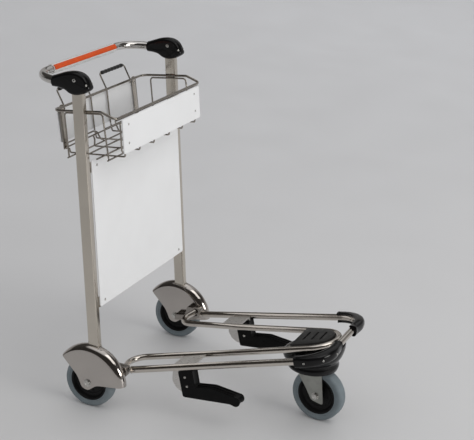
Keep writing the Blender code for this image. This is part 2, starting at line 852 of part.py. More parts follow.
def hub_profile(radius, width, barrel, bearing_r, bearing_w):
    """Rim, dished web and barrel, with a seat for a bearing at each end."""
    rim_half = width / 2 - 1.5 * MM
    right = [(radius, rim_half), (radius - 6 * MM, rim_half), (radius - 9 * MM, 5 * MM),
             (22 * MM, 5 * MM), (20 * MM, barrel), (bearing_r + GAP, barrel),
             (bearing_r + GAP, barrel - bearing_w - GAP), (bearing_r - 4 * MM,
                                                         barrel - bearing_w - GAP)]
    return right + [(r, -x) for r, x in reversed(right)]


def ring_profile(inner, outer, low, high):
    return [(outer, low), (outer, high), (inner, high), (inner, low)]


def add_wheel(prefix, suffix, pivot, radius, width, hub_r, barrel):
    """Tyre, hub and two bearings about the pivot's X axis."""
    place(prefix + "_tyre" + suffix, turned(tyre_profile(radius, width, hub_r)), rubber(),
          parent=pivot)
    bearing_r = 14 * MM
    bearing_w = 8 * MM
    hub = hub_profile(hub_r, width, barrel, bearing_r, bearing_w)
    place(prefix + "_hub" + suffix, turned(hub), black_plastic(), parent=pivot)
    for name, side in (("outer", 1.0), ("inner", -1.0)):
        ends = sorted((side * (barrel - bearing_w), side * barrel))
        place("_".join((prefix, name, "bearing")) + suffix,
              turned(ring_profile(BOLT_R + GAP, bearing_r, *ends), 12), zinc(), parent=pivot)


def bolt(head_x, head_t, end_x, side):
    """A hexagon bolt along X; head_x is the outer end of its head."""
    head = hexagon(9.5 * MM)
    shank = circle(BOLT_R, 12)
    stations = ((head_x, head), (head_x - side * head_t, head),
                (head_x - side * head_t, shank), (end_x, shank))
    return loft(along_x(stations))


def nut(x, thickness, side):
    outer = hexagon(9.5 * MM)
    bore = circle(BOLT_R + GAP, 12)
    far = x - side * thickness
    return loft(along_x(((x, outer), (far, outer), (far, bore), (x, bore))), closed=True)


def add_rear_wheels():
    for name, side in SIDES:
        centre = at(side * WHEEL_X, 0, WHEEL_R)
        pivot = axle("rear_axle_" + name, centre)
        add_wheel("rear", "_" + name, pivot, WHEEL_R, WHEEL_W, HUB_R,
                  FENDER_HALF_W - SHEET - 0.8 * MM)
        face = side * (FENDER_HALF_W + GAP)
        place("rear_axle_bolt_" + name,
              bolt(face + side * 5 * MM, 5 * MM, -face - side * 9 * MM, side), zinc(),
              location=centre)
        place("rear_axle_nut_" + name, nut(-face, 7 * MM, side), zinc(), location=centre)


def add_caster():
    kingpin = axle("caster_kingpin_axis", at(0, KINGPIN_Y, 0), turn=SWIVEL)
    add_fork(kingpin)
    pivot = axle("caster_axle", (0, -TRAIL, CASTER_R), parent=kingpin)
    inner = FORK_HALF_W - FORK_T
    add_wheel("caster", "", pivot, CASTER_R, CASTER_W, CASTER_HUB_R, inner - 0.8 * MM)
    face = -(FORK_HALF_W + GAP)
    place("caster_axle_bolt", bolt(face - 5 * MM, 5 * MM, -face + 9 * MM, -1.0), zinc(),
          location=(0, -TRAIL, CASTER_R), parent=kingpin)
    place("caster_axle_nut", nut(-face, 7 * MM, -1.0), zinc(),
          location=(0, -TRAIL, CASTER_R), parent=kingpin)
    add_caster_mount()
    add_caster_housing()


def add_fork(kingpin):
    """A bent plate: a flat crown and two side plates that taper to the axle."""
    plate = millimetres(((34, 140), (38, 172.5), (-42, 172.5), (-57, 60), (-17, 66), (4, 100)))
    width = FORK_HALF_W
    rings = [[Vector((x, y, z)) for y, z in plate] for x in (-width, width)]
    fork = place("caster_fork", loft(rings), zinc(), parent=kingpin)
    inner = width - FORK_T
    gap = [Vector((0, y, z)) for y, z in millimetres(((80, 20), (80, CROWN_Z / MM),
                                                      (-100, CROWN_Z / MM), (-100, 20)))]
    space = loft([[p + Vector((x, 0, 0)) for p in gap] for x in (-inner, inner)])
    combine(fork, cutter("fork_wheel_space", space, parent=kingpin), "DIFFERENCE")
    bore = circle(BOLT_R + GAP, 12)
    across = loft([[Vector((x, a - TRAIL, b + CASTER_R)) for a, b in bore]
                   for x in (-width - 5 * MM, width + 5 * MM)])
    combine(fork, cutter("fork_axle_bore", across, parent=kingpin), "DIFFERENCE")
    upward = loft([[Vector((a, b, z)) for a, b in bore]
                   for z in (CROWN_Z - 5 * MM, CROWN_Z + 10 * MM)])
    combine(fork, cutter("fork_kingpin_bore", upward, parent=kingpin), "DIFFERENCE")


def stack(stations, sides=20):
    """Rings of a piece turned about the kingpin: (z, radius) stations."""
    return [[at(a, KINGPIN_Y + b, z) for a, b in circle(r, sides)] for z, r in stations]


def add_caster_mount():
    """Kingpin, ball race, and the steel socket under the inner platform tube."""
    crown_top = 172.5 * MM
    race = (crown_top + GAP, 184.7 * MM)
    place("caster_swivel_bearing",
          loft(stack(((race[0], 26 * MM), (race[1], 26 * MM)))
               + stack(((race[1], BOLT_R + GAP), (race[0], BOLT_R + GAP))), closed=True), zinc())
    socket_low = race[1] + GAP
    pin_top = 232 * MM
    place("caster_kingpin",
          loft(stack(((164.4 * MM, 10.5 * MM), (CROWN_Z - GAP, 10.5 * MM),
                      (CROWN_Z - GAP, BOLT_R), (pin_top, BOLT_R)))), zinc())
    socket = place("caster_mount", loft(stack(((socket_low, 18 * MM), (246 * MM, 18 * MM)))),
                   steel())
    rings = []
    for lift in (-4.3 * MM, -GAP):
        ring = []
        for x, y in ((-62, -560), (62, -560), (48, -640), (-48, -640)):
            z = inner_z(y * MM) - INNER_R * 1.045 + lift
            ring.append(at(x * MM, y * MM, z))
        rings.append(ring)
    combine(socket, cutter("caster_mount_plate", loft(rings)), "UNION")
    bore = stack(((socket_low - 5 * MM, BOLT_R + GAP), (pin_top + GAP, BOLT_R + GAP)))
    combine(socket, cutter("caster_mount_bore", loft(bore)), "DIFFERENCE")


def housing_rings(shrink):
    """Bowl over the caster: a round lip, a waist, and a wider body with a tilted top."""
    low = 168 * MM
    rings = []
    for height, radius in ((0.0, 76), (0.14, 79), (0.32, 76.5), (0.5, 86), (0.72, 92),
                           (0.92, 93), (1.0, 87)):
        ring = []
        for a, b in circle(radius * MM - shrink, 24):
            top = inner_z(KINGPIN_Y) - 16.5 * MM - b * INNER_SLOPE - shrink
            ring.append(at(a, KINGPIN_Y + b, low + (top - low) * height))
        rings.append(ring)
    return rings


def add_caster_housing():
    outer = housing_rings(0.0)
    inner = housing_rings(2.5 * MM)
    hole = []
    for rings in (outer, inner):
        top = rings[-1]
        middle = at(0, KINGPIN_Y, 0)
        ring = []
        for p in top:
            away = Vector((p.x - middle.x, p.y - middle.y, 0))
            shrink = 18.5 * MM / away.length
            centre_z = sum(q.z for q in top) / len(top)
            ring.append(Vector((middle.x + away.x * shrink, middle.y + away.y * shrink,
                                centre_z + (p.z - centre_z) * shrink)))
        hole.append(ring)
    rings = outer + [hole[0], hole[1]] + inner[::-1]
    place("caster_housing", loft(rings, closed=True), black_plastic())


# ---------------------------------------------------------------- the trolley

def main():
    clear_scene()
    add_fenders()
    add_uprights()
    add_display_panel()
    add_handle()
    add_sleeve()
    add_platform_tubes()
    add_bumpers()
    add_toe_pad()
    add_rail_brackets()
    add_hooks()
    add_rim()
    add_floor_grid()
    add_side_frames()
    add_front()
    add_rear()
    add_carry_loops()
    add_rear_wheels()
    add_caster()


main()
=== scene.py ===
"""Studio scene of a nesting airport luggage trolley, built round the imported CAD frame.

The shape builders work in millimetres with Y measured from the rear axle; piece()
turns them into the frame's metres.
"""
import math

import bmesh
import bpy
from mathutils import Matrix, Vector


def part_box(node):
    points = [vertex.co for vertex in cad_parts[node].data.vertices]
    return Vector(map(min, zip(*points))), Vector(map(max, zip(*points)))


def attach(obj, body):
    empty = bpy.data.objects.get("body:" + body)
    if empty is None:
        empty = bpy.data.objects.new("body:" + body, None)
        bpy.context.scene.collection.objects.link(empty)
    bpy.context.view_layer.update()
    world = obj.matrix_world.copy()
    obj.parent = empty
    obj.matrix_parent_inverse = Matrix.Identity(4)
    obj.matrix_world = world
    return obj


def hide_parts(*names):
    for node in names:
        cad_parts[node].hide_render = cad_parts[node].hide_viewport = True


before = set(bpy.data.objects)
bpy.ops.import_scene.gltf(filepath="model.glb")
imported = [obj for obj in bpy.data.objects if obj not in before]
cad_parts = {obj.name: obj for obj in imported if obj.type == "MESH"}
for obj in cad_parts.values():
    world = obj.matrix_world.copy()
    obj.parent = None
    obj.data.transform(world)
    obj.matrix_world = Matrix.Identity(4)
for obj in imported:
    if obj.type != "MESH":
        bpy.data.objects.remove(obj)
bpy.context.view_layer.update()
tyre_low, tyre_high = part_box("rear_tyre_left")
AXLE_Y = (tyre_low.y + tyre_high.y) * 500.0
SIDES = (("left", 1), ("right", -1))

# rear wheels and fenders
WHEEL_X, WHEEL_R = 286.0, 80.0
FENDER_HALF_W, CROWN_R, SIDE_R, SIDE_SHIFT = 23.6, 118.0, 100.0, 9.0
# uprights and their panel
UPRIGHT_X, UPRIGHT_W, UPRIGHT_D = 280.6, 22.0, 35.0
# push handle
HANDLE_Y, HANDLE_Z, HANDLE_R = 227.0, 982.0, 12.5
# platform tubes
RAIL_R, INNER_R, INNER_SLOPE, INNER_BEND = 10.5, 9.5, 0.2644, 70.2
RAIL_REAR, RAIL_CORNER = (237.0, -107.4), (169.5, -690.0)
INNER_END, INNER_TURN = (234.9, -86.5, 124.3), (150.0, -62.0, 113.5)
INNER_MID, INNER_FRONT = (114.4, -300.0, 172.7), (78.4, -547.0, 238.0)
# basket
RIM_R, WIRE_R, RIM_X, WELD_STEP = 3.75, 2.5, 265.3, 4.3
RIM_REAR, RIM_SIDE, RIM_FRONT = (162.0, 888.5), (5.3, 910.3), (-40.5, 896.5)
# caster
KINGPIN_Y, CASTER_R, TRAIL, SWIVEL = -598.4, 82.5, 29.0, math.radians(-5.9)
HEX_HALF = 8.2                   # half the width across a bolt head's flats


def upright_y(z):
    return -25.6 + 0.101 * z


def rail_z(y):
    return 121.3 + (RAIL_REAR[1] - y) * 0.2735


def inner_z(y):
    return INNER_FRONT[2] + (INNER_FRONT[1] - y) * INNER_SLOPE


def floor_z(y):
    return 756.0 + (111.0 - y) * 0.1145


def rear_y(z):
    return RIM_REAR[0] - (RIM_REAR[1] - z) * 0.17


# ---------------------------------------------------------------- materials

def ranged(tree, source, low, high, to_low=0.0, to_high=1.0):
    """Map a value from one range to another."""
    node = tree.nodes.new("ShaderNodeMapRange")
    for key, value in (("From Min", low), ("From Max", high), ("To Min", to_low),
                       ("To Max", to_high)):
        node.inputs[key].default_value = value
    tree.links.new(source, node.inputs["Value"])
    return node.outputs["Result"]


def finish(name, colour, rough, metallic=0.0, grain=(1, 1, 1), grain_scale=60.0, mottle=0.08,
           mottle_scale=22.0, bump=0.0, bump_scale=600.0, scratches=0.0, dust=0.0, specular=0.5):
    """A material whose colour, roughness and relief vary over the surface."""
    made = bpy.data.materials.new(name)
    made.use_nodes = True
    nodes = made.node_tree.nodes
    links = made.node_tree.links
    shader = nodes["Principled BSDF"]
    shader.inputs["Metallic"].default_value = metallic
    shader.inputs["Specular IOR Level"].default_value = specular
    place = nodes.new("ShaderNodeTexCoord").outputs["Object"]
    stretch = nodes.new("ShaderNodeMapping")
    stretch.inputs["Scale"].default_value = grain
    links.new(place, stretch.inputs["Vector"])

    def noise(source, scale, detail=3.0):
        made_noise = nodes.new("ShaderNodeTexNoise")
        made_noise.inputs["Scale"].default_value = scale
        made_noise.inputs["Detail"].default_value = detail
        links.new(source, made_noise.inputs["Vector"])
        return made_noise.outputs["Fac"]

    def spread(source, *limits):
        return ranged(made.node_tree, source, *limits)

    def mix(factor, first, second):
        mixer = nodes.new("ShaderNodeMix")
        mixer.data_type = "RGBA"
        links.new(factor, mixer.inputs["Factor"])
        for socket, value in ((mixer.inputs[6], first), (mixer.inputs[7], second)):
            if isinstance(value, tuple):
                socket.default_value = (*value, 1.0)
            else:
                links.new(value, socket)
        return mixer.outputs[2]

    dark = tuple(c * (1 - mottle) for c in colour)
    light = tuple(min(c * (1 + mottle), 1.0) for c in colour)
    tone = mix(spread(noise(place, mottle_scale, 5.0), 0.3, 0.7, 0, 1), dark, light)
    shine = spread(noise(stretch.outputs["Vector"], grain_scale), 0.3, 0.7, *rough)
    if scratches:
        lines = nodes.new("ShaderNodeMapping")
        lines.inputs["Scale"].default_value = tuple(4 * g for g in grain)
        lines.inputs["Rotation"].default_value = (0.12, 0.07, 0.09)
        links.new(place, lines.inputs["Vector"])
        marks = spread(noise(lines.outputs["Vector"], grain_scale * 2, 1.0), 0.62, 0.72, 0,
                       scratches)
        total = nodes.new("ShaderNodeMath")
        links.new(shine, total.inputs[0])
        links.new(marks, total.inputs[1])
        shine = total.outputs["Value"]
    if dust:
        settled = spread(noise(place, 9.0, 6.0), 0.45, 0.8, 0, dust)
        tone = mix(settled, tone, (0.42, 0.40, 0.37))
    links.new(tone, shader.inputs["Base Color"])
    links.new(shine, shader.inputs["Roughness"])
    if bump:
        relief = nodes.new("ShaderNodeBump")
        relief.inputs["Distance"].default_value = bump
        relief.inputs["Strength"].default_value = 0.6
        links.new(noise(stretch.outputs["Vector"], bump_scale, 2.0), relief.inputs["Height"])
        links.new(relief.outputs["Normal"], shader.inputs["Normal"])
    return made


STEEL_TONE = (0.62, 0.575, 0.525)
ALONG_Y, ALONG_X, ALONG_Z = (8, 0.5, 8), (0.5, 8, 8), (8, 8, 0.4)
tube_steel = finish("tube_steel", STEEL_TONE, (0.09, 0.17), 1.0, ALONG_Y, 40, 0.05, 14,
                    0.00002, 300, 0.12)
handle_chrome = finish("handle_chrome", (0.64, 0.62, 0.60), (0.05, 0.12), 1.0, ALONG_X, 40, 0.04,
                       14, 0.00001, 300, 0.1)
wire_steel = finish("wire_steel", (0.36, 0.33, 0.295), (0.12, 0.22), 1.0, (1, 1, 1), 70, 0.12, 30,
                    0.00003, 500, 0.1)
satin_steel = finish("satin_steel", (0.64, 0.59, 0.52), (0.13, 0.21), 1.0, ALONG_Z, 60, 0.05, 9,
                     0.00001, 160, 0.10)
fender_steel = finish("fender_steel", (0.52, 0.485, 0.455), (0.06, 0.12), 1.0, (3, 3, 3), 12, 0.05,
                      10, 0.00006, 22, 0.1)
weld_steel = finish("weld_steel", (0.44, 0.40, 0.35), (0.3, 0.45), 1.0, (1, 1, 1), 200, 0.2, 90,
                    0.0003, 500)
plate_steel = finish("plate_steel", (0.64, 0.62, 0.595), (0.26, 0.34), 1.0, (6, 1, 6), 50, 0.04, 12,
                     0.00002, 200, 0.04)
block_steel = finish("block_steel", (0.33, 0.305, 0.28), (0.16, 0.28), 1.0, (6, 1, 6), 50, 0.08, 14,
                     0.00004, 200, 0.12)
zinc = finish("zinc_plated_sheet", (0.35, 0.355, 0.33), (0.3, 0.42), 1.0, (1, 1, 1), 60, 0.1, 45,
              0.00006, 180, 0.08)
bolt_zinc = finish("bolt_zinc", (0.58, 0.57, 0.54), (0.2, 0.32), 1.0, (1, 1, 1), 160, 0.1, 60,
                   0.00006, 700)
gloss_black = finish("gloss_black_plastic", (0.0048, 0.0047, 0.0050), (0.10, 0.20), 0.0,
                     (1, 1, 1), 50, 0.15, 40, 0.00004, 260, 0.06, specular=0.24)
hub_black = finish("hub_black_plastic", (0.0060, 0.0060, 0.0062), (0.32, 0.46), 0.0, (1, 1, 1),
                   60, 0.2, 60, 0.0001, 700, 0.0, 0.012, specular=0.18)
hook_black = finish("hook_black_plastic", (0.0050, 0.0050, 0.0052), (0.26, 0.42), 0.0, (1, 1, 1),
                    90, 0.15, 50, 0.00012, 620, 0.05, specular=0.10)
laminate = finish("white_laminate", (0.84, 0.845, 0.85), (0.34, 0.46), 0.0, (1, 1, 1), 30, 0.02,
                  6, 0.00005, 420, 0.0, 0.03)
tyre_rubber = finish("grey_tyre_rubber", (0.155, 0.188, 0.205), (0.5, 0.68), 0.0, (1, 1, 1), 45,
                     0.10, 35, 0.00012, 520, 0.0, 0.10)
grip_rubber = finish("black_grip_rubber", (0.013, 0.013, 0.013), (0.42, 0.58), 0.0, (1, 1, 1),
                     120, 0.2, 60, 0.00015, 900)
orange_grip = finish("orange_grip_strip", (0.60, 0.078, 0.014), (0.36, 0.5), 0.0, (0.6, 4, 4),
                     120, 0.07, 40, 0.00010, 500, specular=0.14)
sleeve_grey = finish("grey_sleeve", (0.74, 0.74, 0.725), (0.24, 0.36), 0.3, (0.4, 6, 6), 60,
                     0.05, 20, 0.00005, 200)
pad_rubber = finish("pad_plastic", (0.018, 0.0175, 0.017), (0.40, 0.56), 0.0, (1, 1, 1), 80, 0.2,
                    50, 0.00018, 480, 0.0, 0.03, specular=0.3)


# ---------------------------------------------------------------- shape helpers

def loft(rings, closed=False):
    """Skin a row of equal rings, capping the ends of an open row."""
    bm = bmesh.new()
    rows = [[bm.verts.new(p) for p in ring] for ring in rings]
    count = len(rows[0])
    pairs = list(zip(rows, rows[1:]))
    if closed:
        pairs.append((rows[-1], rows[0]))
    for low, high in pairs:
        for i in range(count):
            j = (i + 1) % count
            bm.faces.new((low[i], low[j], high[j], high[i]))
    if not closed:
        bm.faces.new(rows[0])
        bm.faces.new(rows[-1][::-1])
    return bm


def joined(parts):
    whole = bmesh.new()
    for part in parts:
        mesh = bpy.data.meshes.new("part")
        part.to_mesh(mesh)
        part.free()
        whole.from_mesh(mesh)
        bpy.data.meshes.remove(mesh)
    return whole


def circle(radius, sides, start=0.0):
    step = 2 * math.pi / sides
    return [(radius * math.cos(start + i * step), radius * math.sin(start + i * step))
            for i in range(sides)]


def rounded_rectangle(width, depth, radius, steps=5):
    points = []
    for cx, cy, start in ((1, 1, 0.0), (-1, 1, 0.5), (-1, -1, 1.0), (1, -1, 1.5)):
        for i in range(steps + 1):
            angle = math.pi * (start + 0.5 * i / steps)
            points.append((cx * (width / 2 - radius) + radius * math.cos(angle),
                           cy * (depth / 2 - radius) + radius * math.sin(angle)))
    return points


def rounded(points, radius, steps=8, closed=False):
    """Replace each corner of a path by an arc."""
    points = [Vector(p) for p in points]
    count = len(points)
    path = []
    for i, corner in enumerate(points):
        if not closed and i in (0, count - 1):
            path.append(corner)
            continue
        before = (points[i - 1] - corner).normalized()
        after = (points[(i + 1) % count] - corner).normalized()
        half = before.angle(after) / 2
        centre = corner + (before + after).normalized() * (radius / math.sin(half))
        first = corner + before * (radius / math.tan(half)) - centre
        last = corner + after * (radius / math.tan(half)) - centre
        turn = first.rotation_difference(last)
        for k in range(steps + 1):
            path.append(centre + Matrix.Rotation(turn.angle * k / steps, 3, turn.axis) @ first)
    return path


def flat_rounded(points, radius, steps=5):
    """Round the corners of a closed 2D outline, by less where its edges are short."""
    ring = []
    count = len(points)
    for i, corner in enumerate(points):
        corner = Vector(corner)
        before = Vector(points[i - 1]) - corner
        after = Vector(points[(i + 1) % count]) - corner
        reach = min(radius, before.length * 0.45, after.length * 0.45)
        start = corner + before.normalized() * reach
        end = corner + after.normalized() * reach
        for k in range(steps + 1):
            t = k / steps
            ring.append(tuple(start * (1 - t) ** 2 + corner * 2 * t * (1 - t) + end * t * t))
    return ring


def spline(points, steps):
    """A smooth open curve through a few points (Catmull-Rom)."""
    points = [Vector(p) for p in points]
    row = [2 * points[0] - points[1], *points, 2 * points[-1] - points[-2]]
    curve = []
    for a, b, c, d in zip(row, row[1:], row[2:], row[3:]):
        for k in range(steps):
            t = k / steps
            curve.append(0.5 * (2 * b + (c - a) * t + (2 * a - 5 * b + 4 * c - d) * t * t
                                + (3 * b - a - 3 * c + d) * t ** 3))
    curve.append(points[-1])
    return [tuple(p) for p in curve]


def inset(outline, distance):
    """Move a 2D outline inwards, except along the edge between its last and first points."""
    count = len(outline)
    area = sum(outline[i - 1][0] * outline[i][1] - outline[i][0] * outline[i - 1][1]
               for i in range(count))
    sign = 1 if area > 0 else -1
    moved = []
    for i, (a, b) in enumerate(outline):
        ahead = Vector(outline[min(i + 1, count - 1)]) - Vector(outline[max(i - 1, 0)])
        ahead.normalize()
        moved.append((a - sign * ahead.y * distance, b + sign * ahead.x * distance))
    return moved


def sweep(path, section, up=(0, 0, 1), closed=False):
    """Rings of a section carried along a path; up is never along the path."""
    path = [Vector(p) for p in path]
    up = Vector(up)
    count = len(path)
    rings = []
    for i, point in enumerate(path):
        back = path[i] - path[i - 1] if closed or i else path[1] - path[0]
        ahead = path[(i + 1) % count] - path[i] if closed or i < count - 1 else back
        along = (back.normalized() + ahead.normalized()).normalized()
        side = along.cross(up).normalized()
        rise = side.cross(along)
        stretch = 1 / max(along.dot(ahead.normalized()), 0.3) - 1
        crease = ahead.normalized() - back.normalized()
        ring = []
        for a, b in section:
            offset = side * a + rise * b
            if crease.length > 1e-6:
                offset += crease.normalized() * offset.dot(crease.normalized()) * stretch
            ring.append(point + offset)
        rings.append(ring)
    return rings


def rod(path, radius, up=(0, 0, 1), sides=12, closed=False):
    """A solid round wire with slightly rounded ends."""
    rings = sweep(path, circle(radius, sides), up, closed)
    if not closed:
        for end, nearest in ((0, 1), (-1, -2)):
            middle = Vector(path[end])
            out = (middle - Vector(path[nearest])).normalized()
            tip = [middle + (p - middle) * 0.7 for p in rings[end]]
            if end == 0:
                rings[0] = [p - out * radius * 0.35 for p in rings[0]]
                rings.insert(0, tip)
            else:
                rings[-1] = [p - out * radius * 0.35 for p in rings[-1]]
                rings.append(tip)
    return loft(rings, closed)


def pipe(path, radius, wall, up=(0, 0, 1), sides=32):
    """A hollow round tube with open ends."""
    outer = sweep(path, circle(radius, sides), up)
    inner = sweep(path, circle(radius - wall, sides), up)
    return loft(outer + inner[::-1], closed=True)


def prism(outline, low, high):
    """Extrude a (y, z) outline along X."""
    return loft([[(x, y, z) for y, z in outline] for x in (low, high)])


def turned(profile, sides=96, centre=(0, 0, 0)):
    """Turn a closed (radius, x) profile about X."""
    rings = []
    for k in range(sides):
        angle = 2 * math.pi * k / sides
        rings.append([(centre[0] + x, centre[1] + r * math.cos(angle),
                       centre[2] + r * math.sin(angle)) for r, x in profile])
    return loft(rings, closed=True)


def revolved(profile, sides=20, flats=0):
    """Turn an open (radius, height) profile about Z; flats makes it that many-sided."""
    bm = bmesh.new()
    rows = []
    for radius, height in profile:
        if radius < 1e-6:
            rows.append([bm.verts.new((0, 0, height))])
            continue
        row = []
        for i in range(sides):
            angle = 2 * math.pi * i / sides
            reach = radius
            if flats:
                part = 2 * math.pi / flats
                across = HEX_HALF / math.cos((angle % part) - part / 2)
                reach = min(radius, across)
            row.append(bm.verts.new((reach * math.cos(angle), reach * math.sin(angle), height)))
        rows.append(row)
    for low, high in zip(rows, rows[1:]):
        for i in range(sides):
            j = (i + 1) % sides
            if len(low) == 1:
                bm.faces.new((low[0], high[j], high[i]))
            elif len(high) == 1:
                bm.faces.new((low[i], low[j], high[0]))
            else:
                bm.faces.new((low[i], low[j], high[j], high[i]))
    return bm


def peg(radius, low, high, sides=20):
    return revolved([(0, low), (radius, low), (radius, high), (0, high)], sides)


def aimed(bm, position, direction):
    """Stand a shape made about Z at a position, with its top pointing along a direction."""
    turn = Vector((0, 0, 1)).rotation_difference(Vector(direction)).to_matrix().to_4x4()
    bm.transform(Matrix.Translation(Vector(position)) @ turn)
    return bm


def button(position, direction, radius=4.0, height=2.0, recess=1.6):
    """A domed screw or rivet head, with a round recess."""
    profile = [(0, -1.0), (radius, -1.0), (radius, height * 0.2), (radius * 0.93, height * 0.55),
               (radius * 0.75, height * 0.85), (recess + 0.5, height)]
    if recess:
        profile += [(recess, height * 0.9), (recess * 0.9, height * 0.25), (0, height * 0.2)]
    else:
        profile += [(0, height)]
    return aimed(revolved(profile), position, direction)


def hex_head(position, direction, height=5.5, washer=13.0):
    """A chamfered hexagon on a washer."""
    head = revolved([(0, 0.2), (9.4, 0.2), (9.4, height - 1.2), (8.2, height), (4.4, height),
                     (4.0, height - 0.7), (0, height - 0.7)], 48, 6)
    ring = revolved([(0, -0.4), (washer, -0.4), (washer, 0.9), (washer - 0.5, 1.4), (0, 1.4)], 40)
    return [aimed(head, Vector(position) + Vector(direction) * 1.2, direction),
            aimed(ring, position, direction)]


def soften(bm, width, segments=2, angle=30):
    """Round the sharp edges of a solid."""
    bm.normal_update()
    edges = [e for e in bm.edges
             if len(e.link_faces) == 2 and e.calc_face_angle(0) > math.radians(angle)]
    bmesh.ops.bevel(bm, geom=edges, offset=width, segments=segments, affect="EDGES",
                    profile=0.5, clamp_overlap=True)
    return bm


def placed(name, data):
    thing = bpy.data.objects.new(name, data)
    bpy.context.scene.collection.objects.link(thing)
    return thing


def mesh_object(name, bm):
    mesh = bpy.data.meshes.new(name)
    bm.to_mesh(mesh)
    bm.free()
    return placed(name, mesh)


def scratch_object(bm):
    bmesh.ops.recalc_face_normals(bm, faces=bm.faces)
    return mesh_object("scratch", bm)


def carve(bm, *steps):
    """Apply exact Booleans, given as (operation, solid) pairs."""
    base = scratch_object(bm)
    things = [base]
    for operation, tool in steps:
        other = scratch_object(tool)
        things.append(other)
        cut = base.modifiers.new(operation, "BOOLEAN")
        cut.operation = operation
        cut.solver = "EXACT"
        cut.object = other
    result = bmesh.new()
    result.from_object(base, bpy.context.evaluated_depsgraph_get())
    for thing in things:
        mesh = thing.data
        bpy.data.objects.remove(thing)
        bpy.data.meshes.remove(mesh)
    return result


def piece(name, bm, material, stands_for=(), body="frame", sharp=32):
    """Place a finished shape, in millimetres from the rear axle, on its body."""
    bmesh.ops.recalc_face_normals(bm, faces=bm.faces)
    bm.transform(Matrix.Scale(0.001, 4) @ Matrix.Translation((0, AXLE_Y, 0)))
    thing = mesh_object(name, bm)
    thing.data.shade_smooth()
    thing.data.set_sharp_from_angle(angle=math.radians(sharp))
    thing.data.materials.append(material)
    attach(thing, body)
    if stands_for:
        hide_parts(*stands_for)
    return thing


# ---------------------------------------------------------------- fenders and uprights

def dome(side, grow, steps=112, across=20):
    """The wheel-shaped dome of a fender; grow offsets its skin."""
    half_w = FENDER_HALF_W + grow
    bm = bmesh.new()
    rows = []
    for k in range(steps):
        angle = 2 * math.pi * k / steps
        edge = (SIDE_SHIFT * math.cos(angle)
                + math.sqrt(SIDE_R ** 2 - (SIDE_SHIFT * math.sin(angle)) ** 2)) + grow
        ring = []
        for i in range(across + 1):
            turn = math.pi * i / across
            reach = edge + (CROWN_R + grow - edge) * math.sin(turn)
            ring.append((side * WHEEL_X + half_w * math.cos(turn), reach * math.cos(angle),
                         WHEEL_R + reach * math.sin(angle)))
        rows.append([bm.verts.new(p) for p in ring])
    for k in range(steps):
        low, high = rows[k], rows[(k + 1) % steps]
        for i in range(across):
            bm.faces.new((low[i], low[i + 1], high[i + 1], high[i]))
    bm.faces.new([row[0] for row in rows])
    bm.faces.new([row[-1] for row in rows][::-1])
    return bm


def dome_height(side, x, y):
    """Height of the fender's skin over a point."""
    across = min(abs(x - side * WHEEL_X) / FENDER_HALF_W, 1.0)
    reach = SIDE_R + (CROWN_R - SIDE_R) * math.sqrt(1 - across ** 2)
    return WHEEL_R + math.sqrt(max(reach ** 2 - y ** 2, 0))


def fender_outline():
    edge = spline(((88, 146), (74, 132), (55, 114), (39, 98), (28, 80), (20, 64), (9, 57.5),
                   (-4, 57.5), (-16, 66), (-30, 76), (-52, 81), (-92, 87)), 7)
    return edge + [(-135, 89), (-135, 235), (125, 235), (125, 170)]


def upright_section(z, side, grow=0.0):
    return [(side * UPRIGHT_X + x, upright_y(z) + y, z)
            for x, y in rounded_rectangle(UPRIGHT_W + 2 * grow, UPRIGHT_D + 2 * grow, 4.0 + grow)]


def make_fenders_and_uprights():
    for name, side in SIDES:
        low = side * WHEEL_X - 60
        shell = carve(dome(side, 0.0), ("INTERSECT", prism(fender_outline(), low, low + 120)),
                      ("DIFFERENCE", dome(side, -2.0, 72, 12)))
        piece("fender_shell_" + name, shell, fender_steel, ("fender_" + name,), sharp=40)
        outer = [upright_section(z, side) for z in (185, 500, 1000)]
        inner = [upright_section(z, side, -1.5) for z in (185, 500, 1000)]
        tube = carve(loft(outer + inner[::-1], closed=True), ("DIFFERENCE", dome(side, 0.1)))
        piece("upright_tube_" + name, tube, satin_steel, ("upright_" + name,))
        seam = []
        for x, y, _ in upright_section(196, side, 0.3):
            seam.append((x, y, dome_height(side, x, y) + 0.6))
        piece("upright_weld_" + name, rod(seam, 1.7, (0.3, 0.2, 1), 8, closed=True), weld_steel)
        head = side * (WHEEL_X + FENDER_HALF_W + 0.3)
        bolt = hex_head((head, 0, WHEEL_R), (side, 0, 0), 3.8, 12.0)
        bolt.append(aimed(peg(5.9, 0, 46.5, 24), (head, 0, WHEEL_R), (-side, 0, 0)))
        piece("axle_bolt_" + name, joined(bolt), bolt_zinc, ("rear_axle_bolt_" + name,))
        back = side * (WHEEL_X - FENDER_HALF_W - 0.3)
        nut = hex_head((back, 0, WHEEL_R), (-side, 0, 0), 5.6, 12.0)
        nut.append(aimed(revolved([(0, 5), (5.8, 5), (5.8, 8.2), (5.2, 8.8), (0, 8.8)], 24),
                         (back, 0, WHEEL_R), (-side, 0, 0)))
        piece("axle_nut_" + name, joined(nut), bolt_zinc, ("rear_axle_nut_" + name,))


# ---------------------------------------------------------------- panels

def leaned_plate(half_w, low, high, front, back, corner, lean_y):
    """A flat plate with rounded corners, on a plane leaned like lean_y."""
    middle = (low + high) / 2
    outline = rounded_rectangle(2 * half_w, high - low, corner, 5)
    rings = []
    for offset in (front, back):
        rings.append([(x, lean_y(middle + h) + offset, middle + h) for x, h in outline])
    return loft(rings)


